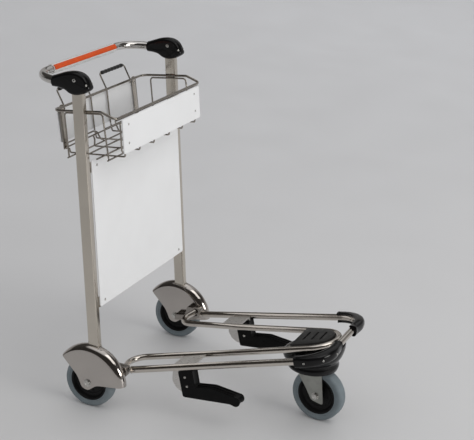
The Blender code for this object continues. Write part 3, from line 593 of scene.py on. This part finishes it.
def make_display_panel():
    face = -UPRIGHT_D / 2
    panel = soften(leaned_plate(267, 318, 762, face - 3, face - 0.3, 5, upright_y), 0.6)
    piece("display_sheet", panel, laminate, ("display_panel",))
    normal = Vector((0, -1, 0.101)).normalized()
    heads = [button((side * 240, upright_y(z) + face - 3, z), normal, 4.2, 1.1)
             for side in (-1, 1) for z in (331, 744)]
    heads += [button((side * 240, upright_y(z) + face + 4, z), -normal, 4.8, 1.6, 0)
              for side in (-1, 1) for z in (331, 744)]
    piece("display_screws", joined(heads), bolt_zinc)
    for name, z in (("lower", 331), ("upper", 742)):
        bar = leaned_plate(UPRIGHT_X - UPRIGHT_W / 2 - 0.3, z - 15, z + 15, face, face + 4, 0.8,
                           upright_y)
        piece("crossbar_" + name, soften(bar, 0.7), satin_steel, ("panel_crossbar_" + name,))


# ---------------------------------------------------------------- push handle

def handle_path():
    x = UPRIGHT_X
    corners = [(-x, 95, HANDLE_Z), (-x, HANDLE_Y, HANDLE_Z), (x, HANDLE_Y, HANDLE_Z),
               (x, 95, HANDLE_Z)]
    return rounded(corners, 85, 14)


def bracket_outline():
    return spline(((150, 998.5), (130, 1007), (109, 1015), (86, 1019.6), (63, 1018), (45, 1008),
                   (33, 990), (28.7, 976), (39, 966), (56, 957), (75, 952), (95, 954.5),
                   (112, 963), (130, 966), (149, 966)), 5)


def make_handle():
    piece("handle_bar", pipe(handle_path(), HANDLE_R, 1.5), handle_chrome, ("handle_tube",))
    outline = bracket_outline()
    for name, side in SIDES:
        middle = side * UPRIGHT_X
        rings = []
        for k in range(-8, 9):
            turn = math.radians(90 * k / 8)
            pull = 9.5 * (1 - math.cos(turn)) ** 1.15
            rings.append([(middle + 18 * math.sin(turn), y, z) for y, z in inset(outline, pull)])
        shell = carve(loft(rings),
                      ("DIFFERENCE", loft(sweep(handle_path(), circle(HANDLE_R + 0.4, 32)))),
                      ("DIFFERENCE", loft([upright_section(z, side, 0.3) for z in (900, 1000.3)])))
        piece("handle_socket_" + name, shell, gloss_black,
              ("handle_bracket_" + name,), sharp=38)
        collar = [(HANDLE_R + 0.4, 0), (HANDLE_R + 0.4, 7), (HANDLE_R + 2.4, 7),
                  (HANDLE_R + 3.6, 5.5), (HANDLE_R + 3.6, 0)]
        ring = loft([[(middle + r * math.cos(t), 147 + h, HANDLE_Z + r * math.sin(t))
                      for r, h in collar] for t in (math.radians(10 * i) for i in range(36))],
                    closed=True)
        piece("handle_collar_" + name, ring, gloss_black)
        plugs = []
        for way in (-1, 1):
            plugs.append(button((middle + way * 17.6, 77, 997), (way, 0, 0), 5.6, 1.2, 2.2))
            plugs.append(button((middle + way * 16.2, 38, 988), (way * 0.72, -0.62, 0.32), 3.2, 1.4,
                                1.2))
        piece("handle_plugs_" + name, joined(plugs), bolt_zinc)
    sleeve = []
    for x, radius in ((-180, 13.2), (-179, 14.3), (-176.5, 14.7), (176.5, 14.7), (179, 14.3),
                      (180, 13.2)):
        sleeve.append([(x, HANDLE_Y + a, HANDLE_Z + b) for a, b in circle(radius, 40)])
    bore = [[(x, HANDLE_Y + a, HANDLE_Z + b) for a, b in circle(HANDLE_R + 0.3, 40)]
            for x in (180, -180)]
    piece("grip_sleeve", loft(sleeve + bore, closed=True), sleeve_grey,
          ("handle_sleeve",))
    turns = [math.radians(2 + 62 * i / 14) for i in range(15)]
    band = [(-14.85 * math.cos(t), 14.85 * math.sin(t)) for t in turns]
    band += [(-r * math.cos(t), r * math.sin(t)) for r, t in
             [(15.3, turns[-1])] + [(16.0, t) for t in reversed(turns[1:-1])] + [(15.3, turns[0])]]
    strip = loft([[(x, HANDLE_Y + a, HANDLE_Z + b) for a, b in band]
                  for x in (-178, -120, 0, 120, 178)])
    piece("grip_strip", strip, orange_grip, ("handle_grip_strip",), sharp=50)
    clips = []
    for x in (-171, 171):
        block = [(-13.2 * math.cos(t), 13.2 * math.sin(t)) for t in turns[1:-1]]
        block += [(-16.05 * math.cos(t), 16.05 * math.sin(t)) for t in reversed(turns[1:-1])]
        clips.append(soften(loft([[(x + d, HANDLE_Y + a, HANDLE_Z + b) for a, b in block]
                                  for d in (-6, 6)]), 0.4, 1))
    piece("grip_strip_ends", joined(clips), orange_grip)


# ---------------------------------------------------------------- luggage platform

def outer_path(steps=14):
    x0, y0 = RAIL_REAR
    x1, y1 = RAIL_CORNER
    return rounded([(-x0, y0, rail_z(y0)), (-x1, y1, rail_z(y1)), (x1, y1, rail_z(y1)),
                    (x0, y0, rail_z(y0))], 85, steps)


def inner_nose(gap, steps=28):
    run = (INNER_MID[0] - INNER_FRONT[0]) / (INNER_MID[1] - INNER_FRONT[1])
    toe_in = math.atan(run)
    centre_y = (INNER_FRONT[1] - (INNER_FRONT[0] - INNER_BEND * math.cos(toe_in)) / run
                + INNER_BEND * math.sin(toe_in))
    nose = []
    for k in range(steps + 1):
        angle = toe_in + (math.pi - 2 * toe_in) * k / steps
        y = centre_y - (INNER_BEND - gap) * math.sin(angle)
        nose.append(Vector(((INNER_BEND - gap) * math.cos(angle), y, inner_z(y))))
    return nose


def inner_path():
    leg = rounded([INNER_END, INNER_TURN, INNER_MID], 48, 12)
    return leg + inner_nose(0) + [Vector((-p.x, p.y, p.z)) for p in reversed(leg)]


def make_tubes():
    outer = outer_path()
    piece("outer_rail", pipe(outer, RAIL_R, 1.5), tube_steel, ("outer_platform_tube",))
    piece("inner_rail", pipe(inner_path(), INNER_R, 1.5), tube_steel,
          ("inner_platform_tube",))
    outline = [(-11.5, 78), (-11.5, 98), (-48, 104), (-56, 136), (-104.3, 136), (-104.3, 108),
               (-84, 94), (-48, 82)]
    for name, side in SIDES:
        face = WHEEL_X - FENDER_HALF_W
        block = carve(prism(flat_rounded(outline, 4), side * (face - 24), side * (face - 0.3)),
                      ("DIFFERENCE", aimed(peg(4, -30, 30),
                                           (side * (face - 12), -90, 114), (1, 0, 0))))
        piece("rail_block_" + name, soften(block, 1.0, 2, 40), block_steel,
              ("rail_bracket_" + name,))
        end = Vector((side * RAIL_REAR[0], RAIL_REAR[1], rail_z(RAIL_REAR[1])))
        ahead = Vector((-side * 0.115, -0.957, 0.262)).normalized()
        beads = [rod([end + ahead * 2.2 + Vector((math.cos(t) * 9.9, math.sin(t) * 2.6,
                                                  math.sin(t) * 9.6)) for t in
                      (math.radians(15 * i) for i in range(24))], 1.5, ahead, 8, closed=True)]
        piece("rail_weld_" + name, joined(beads), weld_steel)
        drain = end + ahead * 14 + Vector((-10.2, 0, 0))
        piece("rail_drain_" + name,
              aimed(revolved([(0, -0.4), (2.9, -0.4), (3.2, 0.4), (2.5, 0.5), (2.3, -0.2),
                              (0, -0.2)]), drain, (-1, 0, 0)), hub_black)


def bumper_section(swell, steps=18):
    """A C round the rail, open towards the middle of the trolley."""
    turns = [math.radians(-125 + 250 * i / steps) for i in range(steps + 1)]
    inner = [((RAIL_R + 0.3) * math.cos(t), (RAIL_R + 0.3) * math.sin(t)) for t in turns]
    outer = []
    for t in reversed(turns):
        if math.cos(t) > 0:
            across = (RAIL_R + 5 + swell) * math.cos(t) ** 0.35
        else:
            across = (RAIL_R + 6) * math.cos(t)
        outer.append((across, (RAIL_R + 6) * math.sin(t)))
    return inner + outer


def make_bumpers():
    path = outer_path(16)
    corner = path[1:18]
    start = corner[0] + (path[0] - path[1]).normalized() * 12
    finish_at = Vector((-60, corner[-1].y, corner[-1].z))
    route = [start, *corner, corner[-1].lerp(finish_at, 0.5), finish_at]
    for name, side in (("right", 1), ("left", -1)):
        turned_route = [Vector((p.x * side, p.y, p.z)) for p in route]
        rings = []
        last = len(route) - 1
        for i in range(last + 1):
            swell = 9 * math.sin(math.pi * i / last) - 0.4
            section = [(a * side, b) for a, b in bumper_section(swell)]
            rings.append(sweep(turned_route, section)[i])
        piece("bumper_" + name, soften(loft(rings), 0.8, 2, 45), gloss_black,
              ("corner_bumper_" + name,), sharp=40)
        heads = []
        for i in (3, 9, 15):
            along = (turned_route[i + 1] - turned_route[i - 1]).normalized()
            out = along.cross(Vector((0, 0, 1))).normalized() * side
            swell = 9 * math.sin(math.pi * i / last)
            heads.append(button(turned_route[i] + out * (RAIL_R + 4.2 + swell), out, 3.4, 0.9, 1.5))
        piece("bumper_screws_" + name, joined(heads), bolt_zinc)


def make_toe_pad():
    normal = Vector((0, INNER_SLOPE, 1)).normalized()
    gap = INNER_R + 0.6
    rear_x = INNER_FRONT[0] - gap
    outline = [Vector((rear_x, -549, inner_z(-549))), *inner_nose(gap),
               Vector((-rear_x, -549, inner_z(-549)))]
    middle = Vector((0, -590, inner_z(-590)))
    rings = []
    for height, shrink in ((3, 0.0), (11.2, 0.0), (12.4, 0.6), (13.0, 2.0)):
        rings.append([p.lerp(middle, shrink / 60) + normal * height for p in outline])
    slots = []
    turn = Matrix.Rotation(-math.atan(INNER_SLOPE), 4, "X")
    for i in range(3):
        y = -574 - i * 26
        slot = rounded_rectangle(62, 6.5, 2.6, 5)
        cut = loft([[(a, b, c) for a, b in slot] for c in (-6, 6)])
        cut.transform(Matrix.Translation(Vector((0, y, inner_z(y))) + normal * 12) @ turn)
        slots.append(cut)
    pad = carve(loft(rings), ("DIFFERENCE", joined(slots)))
    piece("toe_pad_cover", pad, pad_rubber, ("toe_pad",), sharp=25)


# ---------------------------------------------------------------- nesting hooks

def make_hooks():
    outline = [(-258.6, 149.5), (-279.4, 73), (-431, 91)]
    outline += [(-447 + 13.5 * math.cos(a), 101 + 13.5 * math.sin(a))
                for a in (math.radians(-60 - 15 * i) for i in range(2, 13))]
    outline += [(-371, 121), (-314, 111), (-301.8, 161)]
    plate = [(-232, 155.5), (-230, 106), (-243, 86), (-262, 76), (-272, 76), (-300, 140),
             (-300, 173.5)]
    for name, side in SIDES:
        x = side * 200
        slot = prism(plate, x - 2.3, x + 2.3)
        smooth = flat_rounded(outline, 4, 3)
        hook = carve(soften(prism(smooth, side * 189, side * 222), 2.2, 3, 40),
                     ("DIFFERENCE", slot))
        piece("hook_" + name, hook, hook_black, ("nesting_hook_" + name,))
        ribs = []
        for across in (193.5, 205.5, 217.5):
            line = [(-318, 112.2), (-371, 121.8), (-440, 114.6)]
            low = [(y, z - 2.5) for y, z in reversed(line)]
            ribs.append(soften(prism([(y, z + 0.9) for y, z in line] + low,
                                     side * (across - 1.3), side * (across + 1.3)), 0.5, 2))
        piece("hook_ribs_" + name, joined(ribs), hook_black)
        rivets = []
        for way in (-1, 1):
            edge = x + side * 22.0 if way == side else x - side * 11.0
            for y, z in ((-280, 136), (-289, 108)):
                rivets.append(button((edge, y, z), (way, 0, 0), 4.0, 1.5, 1.4))
        piece("hook_rivets_" + name, joined(rivets), bolt_zinc)
        blade = soften(prism(flat_rounded(plate, 5), x - 2, x + 2), 0.5, 1)
        rings = []
        for lift in (-2, 2):
            rings.append([(side * a, b, rail_z(b) + lift) for a, b in
                          ((134.9, -232), (201, -232), (201, -300), (124.7, -300))])
        piece("hook_plate_sheet_" + name, joined([blade, soften(loft(rings), 0.6, 2)]),
              plate_steel, ("hook_plate_" + name,))


# ---------------------------------------------------------------- basket

def make_basket_wires():
    x = RIM_X
    corners = [[(side * x, *RIM_REAR), (side * x, *RIM_SIDE), (side * x, *RIM_FRONT)]
               for side in (-1, 1)]
    ring = corners[0] + corners[1][::-1]
    path = []
    for i, point in enumerate(ring):
        path += rounded([ring[i - 1], point, ring[(i + 1) % 6]], 22 if i in (0, 5) else 14, 8)[1:-1]
    piece("rim_wire", rod(path, RIM_R, sides=14, closed=True), wire_steel, ("basket_rim",))

    wires = []
    for across in (48, 136, 223):
        for side in (-1, 1):
            wx = side * across
            lift = WELD_STEP
            if across == 48:
                line = [(wx, 150.6, 779), (wx, 144, floor_z(144) + lift)]
            elif across == 136:
                line = [(wx, 104, 793), (wx, 99, 782), (wx, 99, floor_z(99) + lift)]
            else:
                line = [(wx, 133, floor_z(128) + lift + 13), (wx, 128, floor_z(128) + lift)]
            base = floor_z(-53) + lift
            line += [(wx, -53, base), (wx, -53, base + 14.5)]
            wires.append(rod(rounded(line, 5.0, 5), WIRE_R, (1, 0, 0)))
    reach = UPRIGHT_X - UPRIGHT_W / 2 - 0.4
    for y, lift, half in ((111, 0, RIM_X), (20, 0, RIM_X - 8), (-20, 0, RIM_X),
                          (58, 2 * WELD_STEP, reach), (143.4, 0, 221)):
        z = 770.5 if y > 140 else floor_z(y) + lift
        wires.append(rod([(-half, y, z), (half, y, z)], WIRE_R))
    for side in (-1, 1):
        curl = [(side * 223, 145, 782), (side * 66, 145, 782.5), (side * 57, 138, 779),
                (side * 55, 126, 760), (side * 55, 112, floor_z(112) + lift)]
        wires.append(rod(rounded(curl, 4, 5), WIRE_R))
    piece("floor_wires", joined(wires), wire_steel, ("basket_floor_grid",))

    sx = RIM_X - RIM_R - WIRE_R - 0.3
    for name, side in SIDES:
        frame_path = [(side * sx, 111, floor_z(111) + 2.8), (side * sx, 130, 886),
                      (side * sx, 5, 903), (side * sx, -20, floor_z(-20) + 2.8)]
        piece("side_wire_" + name, rod(rounded(frame_path, 10, 8), WIRE_R, (1, 0, 0)),
              wire_steel, ("basket_side_frame_" + name,))
    piece("brace_wire", rod([(-sx + 2.8, -3.5, 861), (sx - 2.8, -3.5, 861)], WIRE_R), wire_steel,
          ("basket_brace",))

    low, high = (-55.0, 797.5), (-45.3, 884.5)
    front = rounded([(-246, *low), (246, *low), (246, *high), (-246, *high)], 8, 6, closed=True)
    piece("front_wire", rod(front, WIRE_R, (0, 1, 0), closed=True), wire_steel,
          ("basket_front_frame",))
    doubles = [rod([(-259, -37.2, 890.4), (259, -37.2, 890.4)], WIRE_R)]
    for a, b in ((-44, 44), (203, 243), (-243, -203)):
        doubles.append(rod([(a, 168.4, 887.2), (b, 168.4, 887.2)], WIRE_R))
    for side in (-1, 1):
        doubles.append(rod([(side * 223.6, 148, 764), (side * 223.6, 168.3, 889)], WIRE_R,
                           (1, 0, 0)))
    piece("doubling_wires", joined(doubles), wire_steel)


def front_y(z):
    """Back face of the front panel."""
    return -45.3 - (884.5 - z) * (9.7 / 87) - WIRE_R - 0.6


def make_basket_panels():
    front = leaned_plate(242, 793.4, 891, -3, 0, 4, front_y)
    piece("front_sheet", soften(front, 0.5), laminate, ("basket_front_panel",))
    normal = Vector((0, -1, 0.1115)).normalized()
    heads = [button((side * a, front_y(z) - 3, z), normal, 3.6, 1.0, 0)
             for side in (-1, 1) for a, z in ((208, 873), (211, 819))]
    piece("front_rivets", joined(heads), bolt_zinc)
    behind = RIM_R + 0.6
    rear = leaned_plate(226, 784, 884, behind + 9, behind + 12, 4, rear_y)
    piece("rear_sheet", soften(rear, 0.5), laminate, ("basket_rear_panel",))
    normal = Vector((0, -1, 0.17)).normalized()
    rivets = []
    for name, side in SIDES:
        outline = rounded_rectangle(15, 128, 3, 4)
        rings = [[(side * 213 + a, rear_y(828 + b) + behind + t, 828 + b) for a, b in outline]
                 for t in (0, 3)]
        piece("flat_bar_" + name, soften(loft(rings), 0.5), satin_steel,
              ("basket_flat_bar_" + name,))
        for z in (778, 874):
            rivets.append(button((side * 213, rear_y(z) + behind, z), normal, 4.2, 1.8, 0))
        for z in (800, 868):
            y = rear_y(z) + behind
            rivets.append(aimed(peg(3.5, 2.5, 9.4), (side * 213, y, z), -normal))
            rivets.append(button((side * 213, y + 12, z), -normal, 4.2, 1.6, 0))
    piece("rear_rivets", joined(rivets), bolt_zinc)


def make_carry_loops():
    foot = RIM_REAR[0] + RIM_R + WIRE_R + 0.3
    top = (foot + 27, 930)
    for name, side in SIDES:
        inner, outer = side * 48, side * 197
        corners = [(inner, 151.3, 780.2), (inner, foot, 884), (inner, *top), (outer, *top),
                   (outer, foot, 884), (outer, foot - 1, 875)]
        path = rounded(corners, 7, 7)
        piece("loop_wire_" + name, rod(path, WIRE_R, (0, 1, 0.35)), wire_steel,
              ("carry_loop_" + name,))
        low, high = side * 58, side * 187
        rings = []
        count = 98
        for i in range(count + 1):
            t = i / count
            wave = 0.5 - 0.5 * math.cos(2 * math.pi * 7 * t)
            radius = 4.9 + 1.25 * wave ** 0.7
            rings.append([(low + (high - low) * t, top[0] + a, top[1] + b)
                          for a, b in circle(radius, 20)])
        bore = [[(x, top[0] + a, top[1] + b) for a, b in circle(WIRE_R + 0.3, 20)]
                for x in (high, low)]
        piece("loop_grip_" + name, loft(rings + bore, closed=True), grip_rubber,
              ("carry_loop_grip_" + name,), sharp=50)


# ---------------------------------------------------------------- wheels

def tyre_profile(radius, width, seat):
    half = width / 2
    side = [(seat, -half + 1.2), (seat + 0.4, -half + 0.5), (seat + 2.2, -half + 0.4),
            (seat + 2.8, -half + 1.3), (seat + 5.6, -half + 1.3), (seat + 6.2, -half + 0.2),
            (seat + 8.0, -half)]
    shoulder = 9.0
    tread = []
    for i in range(9):
        angle = math.pi / 2 * i / 8
        tread.append((radius - shoulder + shoulder * math.sin(angle),
                      -half + shoulder * (1 - math.cos(angle))))
    tread.append((radius, -half + shoulder + 2))
    left = side + [p for p in tread if p[0] > seat + 8.3]
    return left + [(r, -x) for r, x in reversed(left)]


def hub_profile(radius, width, barrel, bearing_r=14.0, bearing_w=8.0):
    rim = width / 2 - 1.5
    right = [(radius, rim - 0.6), (radius - 0.6, rim), (radius - 4.2, rim), (radius - 5.2, rim - 1),
             (radius - 8.6, 8.2), (radius - 10.5, 6.2), (44, 5.6), (43, 7.2), (40, 7.2), (39, 5.6),
             (26, 5.2), (22.5, 6.5), (20.6, barrel - 1.5), (20, barrel),
             (bearing_r + 0.3, barrel), (bearing_r + 0.3, barrel - bearing_w - 0.3),
             (bearing_r - 4, barrel - bearing_w - 0.3)]
    return right + [(r, -x) for r, x in reversed(right)]


def make_wheel(tag, centre, radius, width, hub_r, barrel, body, nodes, turn=None):
    tyre = turned(tyre_profile(radius, width, hub_r + 0.3), 112)
    hub = turned(hub_profile(hub_r, width, barrel), 112)
    studs = []
    for k in range(6):
        angle = math.radians(60 * k + 12)
        for way in (-1, 1):
            studs.append(aimed(revolved([(0, 0), (3.4, 0), (3.4, 1.0), (2.9, 1.5), (0, 1.5)], 16),
                               (way * 5.2, 32 * math.cos(angle), 32 * math.sin(angle)),
                               (way, 0, 0)))
    hub = joined([hub, *studs])
    for shape in (tyre, hub):
        shape.transform(Matrix.Translation(Vector(centre)))
        if turn:
            shape.transform(turn)
    piece("tyre_" + tag, tyre, tyre_rubber, (nodes[0],), body, sharp=30)
    piece("hub_" + tag, hub, hub_black, (nodes[1],), body)


def make_wheels():
    for name, side in SIDES:
        make_wheel(name, (side * WHEEL_X, 0, WHEEL_R), WHEEL_R, 36, 59.4, 20.8,
                   "rear_wheel_" + name, ("rear_tyre_" + name, "rear_hub_" + name))
    turn = Matrix.Translation((0, KINGPIN_Y, 0)) @ Matrix.Rotation(SWIVEL, 4, "Z")
    make_wheel("caster", (0, -TRAIL, CASTER_R), CASTER_R, 40, 61.0, 21.2, "caster_wheel",
               ("caster_tyre", "caster_hub"), turn)


# ---------------------------------------------------------------- caster

def make_fork():
    turn = Matrix.Translation((0, KINGPIN_Y, 0)) @ Matrix.Rotation(SWIVEL, 4, "Z")
    plate = flat_rounded([(34, 140), (38, 172.5), (-42, 172.5), (-57, 60), (-17, 66), (4, 100)], 9,
                         6)

    def channel(half, top, corner):
        ring = [(-half, 20), (half, 20)]
        for cx, start in ((half - corner, 0), (-half + corner, 90)):
            for i in range(7):
                a = math.radians(start + 15 * i)
                ring.append((cx + corner * math.cos(a), top - corner + corner * math.sin(a)))
        return loft([[(x, y, z) for x, z in ring] for y in (-120, 120)])

    hole = aimed(peg(6.3, -40, 40, 32), (0, -TRAIL, CASTER_R), (1, 0, 0))
    pin = aimed(peg(6.3, -10, 20, 32), (0, 0, 165), (0, 0, 1))
    fork = carve(prism(plate, -30, 30), ("INTERSECT", channel(25, 172.5, 6)),
                 ("DIFFERENCE", channel(22, 169, 3)), ("DIFFERENCE", hole), ("DIFFERENCE", pin))
    fork.transform(turn)
    piece("fork_sheet", fork, zinc, ("caster_fork",), "caster_swivel", sharp=28)
    bolts = hex_head((-25.3, -TRAIL, CASTER_R), (-1, 0, 0), 5.4, 12.0)
    bolts.append(aimed(revolved([(0, 0), (5.9, 0), (5.9, 59.5), (5.2, 60.2), (0, 60.2)], 24),
                       (-25.3, -TRAIL, CASTER_R), (1, 0, 0)))
    bolt = joined(bolts)
    bolt.transform(turn)
    piece("fork_bolt", bolt, bolt_zinc, ("caster_axle_bolt",), "caster_swivel")
    nut = joined(hex_head((25.3, -TRAIL, CASTER_R), (1, 0, 0), 5.6, 12.0))
    nut.transform(turn)
    piece("fork_nut", nut, bolt_zinc, ("caster_axle_nut",), "caster_swivel")


def housing_rings(shrink, steps=6):
    profile = spline(((0, 76), (0.14, 79), (0.32, 76.5), (0.5, 86), (0.72, 92), (0.92, 93),
                      (1.0, 87)), steps)
    rings = []
    for height, radius in profile:
        ring = []
        for a, b in circle(min(radius, 93) - shrink, 96):
            top = inner_z(KINGPIN_Y) - 16.5 - b * INNER_SLOPE - shrink
            ring.append(Vector((a, KINGPIN_Y + b, 168 + (top - 168) * height)))
        rings.append(ring)
    return rings


def make_housing():
    outer = housing_rings(0.0)
    inner = housing_rings(2.5)
    holes = []
    for rings in (outer, inner):
        top = rings[-1]
        middle = sum(top, Vector()) / len(top)
        holes.append([middle + (p - middle) * (18.5 / 87) for p in top])
    shell = loft(outer + [holes[0], holes[1]] + inner[::-1], closed=True)
    piece("housing_bowl", shell, gloss_black, ("caster_housing",), sharp=34)


# ---------------------------------------------------------------- carried-over CAD nodes

KEPT = {"caster_mount": plate_steel, "caster_kingpin": bolt_zinc,
        "caster_swivel_bearing": bolt_zinc}


def finish_kept_nodes():
    """Give every CAD node that still shows a detailed material of its own."""
    for name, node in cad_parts.items():
        material = KEPT.get(name, bolt_zinc)
        if not node.data.materials:
            node.data.materials.append(material)
        for i in range(len(node.data.materials)):
            node.data.materials[i] = material


# ---------------------------------------------------------------- stage, light and camera

def make_floor():
    bm = bmesh.new()
    bmesh.ops.create_grid(bm, x_segments=4, y_segments=4, size=40.0)
    floor = mesh_object("studio_floor", bm)
    vinyl = finish("floor_vinyl_painted_falloff", (0.43, 0.43, 0.44), (0.42, 0.55), 0.0, (1, 1, 1), 3.0, 0.02,
                   0.8, 0.0, 100)
    nodes = vinyl.node_tree.nodes
    links = vinyl.node_tree.links
    split = nodes.new("ShaderNodeSeparateXYZ")
    links.new(nodes["Texture Coordinate"].outputs["Object"], split.inputs["Vector"])
    # painted light: the floor colour runs from darker near the camera to lighter far away, a
    # painted fall-off of light across the floor rather than a change in the vinyl itself
    ramp = nodes.new("ShaderNodeValToRGB")
    links.new(ranged(vinyl.node_tree, split.outputs["X"], -1.2, 6.0), ramp.inputs["Fac"])
    points = ramp.color_ramp.elements
    points[0].color = (0.58, 0.58, 0.58, 1)
    points[1].color = (0.72, 0.725, 0.74, 1)
    middle = points.new(0.22)
    middle.color = (0.63, 0.63, 0.635, 1)
    links.new(ramp.outputs["Color"], nodes["Principled BSDF"].inputs["Base Color"])
    floor.data.materials.append(vinyl)


def make_light():
    world = bpy.data.worlds.new("studio")
    bpy.context.scene.world = world
    world.use_nodes = True
    nodes = world.node_tree.nodes
    links = world.node_tree.links
    background = nodes["Background"]
    coords = nodes.new("ShaderNodeTexCoord")
    split = nodes.new("ShaderNodeSeparateXYZ")
    links.new(coords.outputs["Generated"], split.inputs["Vector"])

    def by_height(stops):
        ramp = nodes.new("ShaderNodeValToRGB")
        links.new(split.outputs["Z"], ramp.inputs["Fac"])
        points = ramp.color_ramp.elements
        while len(points) < len(stops):
            points.new(0.5)
        for point, (place, colour) in zip(points, stops):
            point.position = place
            point.color = (*colour, 1.0)
        return ramp.outputs["Color"]

    behind = by_height(((0.0, (0.50, 0.49, 0.48)), (0.28, (0.52, 0.51, 0.50)),
                        (0.36, (0.08, 0.075, 0.07)), (0.80, (0.09, 0.085, 0.08)),
                        (0.88, (1.1, 1.1, 1.1)), (1.0, (1.3, 1.3, 1.32))))
    ahead = by_height(((0.0, (0.26, 0.25, 0.235)), (0.08, (0.055, 0.05, 0.047)),
                       (0.80, (0.05, 0.047, 0.043)), (0.90, (0.9, 0.9, 0.9)),
                       (1.0, (1.3, 1.3, 1.32))))
    both = nodes.new("ShaderNodeMix")
    both.data_type = "RGBA"
    links.new(ranged(world.node_tree, split.outputs["X"], -0.25, 0.20), both.inputs["Factor"])
    links.new(ahead, both.inputs[6])
    links.new(behind, both.inputs[7])
    # surfaces are lit by an even grey; only their reflections show the bright and dark panels
    path = nodes.new("ShaderNodeLightPath")
    shown = nodes.new("ShaderNodeMix")
    shown.data_type = "RGBA"
    shown.inputs[6].default_value = (0.93, 0.93, 0.94, 1.0)
    links.new(path.outputs["Is Glossy Ray"], shown.inputs["Factor"])
    links.new(both.outputs[2], shown.inputs[7])
    links.new(shown.outputs[2], background.inputs["Color"])
    background.inputs["Strength"].default_value = 0.68

    def area(name, location, target, size, power, colour=(1, 0.99, 0.97)):
        light = bpy.data.lights.new(name, "AREA")
        light.shape = "RECTANGLE"
        light.size, light.size_y = size
        light.energy = power
        light.color = colour
        lamp = placed(name, light)
        lamp.location = location
        aim = Vector(target) - Vector(location)
        lamp.rotation_euler = aim.to_track_quat("-Z", "Y").to_euler()

    area("overhead_softbox", (-0.6, -2.8, 4.6), (0, 0, 0), (3.0, 3.0), 42)
    area("front_softbox", (-0.4, -6.4, 2.2), (0, 0, 0.6), (2.4, 2.0), 105)
    area("far_floor_softbox", (6.5, 0.5, 5.0), (5.5, 1.5, 0), (6.0, 6.0), 50, (0.98, 0.99, 1))


def make_camera():
    data = bpy.data.cameras.new("photo_angle")
    data.lens = 97.6
    data.sensor_width = 36.0
    data.clip_end = 200.0
    camera = placed("photo_angle", data)
    around, above, roll = (math.radians(v) for v in (-66.659, 20.219, 3.970))
    back = Vector((math.sin(around) * math.cos(above), -math.cos(around) * math.cos(above),
                   math.sin(above)))
    right = Vector((math.cos(around), math.sin(around), 0))
    up = back.cross(right)
    side = right * math.cos(roll) + up * math.sin(roll)
    top = up * math.cos(roll) - right * math.sin(roll)
    matrix = Matrix((side, top, back)).transposed().to_4x4()
    matrix.translation = Vector((-3.3045, -1.7435 + AXLE_Y / 1000, 1.8997))
    camera.matrix_world = matrix
    bpy.context.scene.camera = camera


bpy.context.scene.view_settings.view_transform = "Standard"
make_camera()
finish_kept_nodes()
make_fenders_and_uprights()
make_display_panel()
make_handle()
make_tubes()
make_bumpers()
make_toe_pad()
make_hooks()
make_basket_wires()
make_basket_panels()
make_carry_loops()
make_wheels()
make_fork()
make_housing()
make_floor()
make_light()
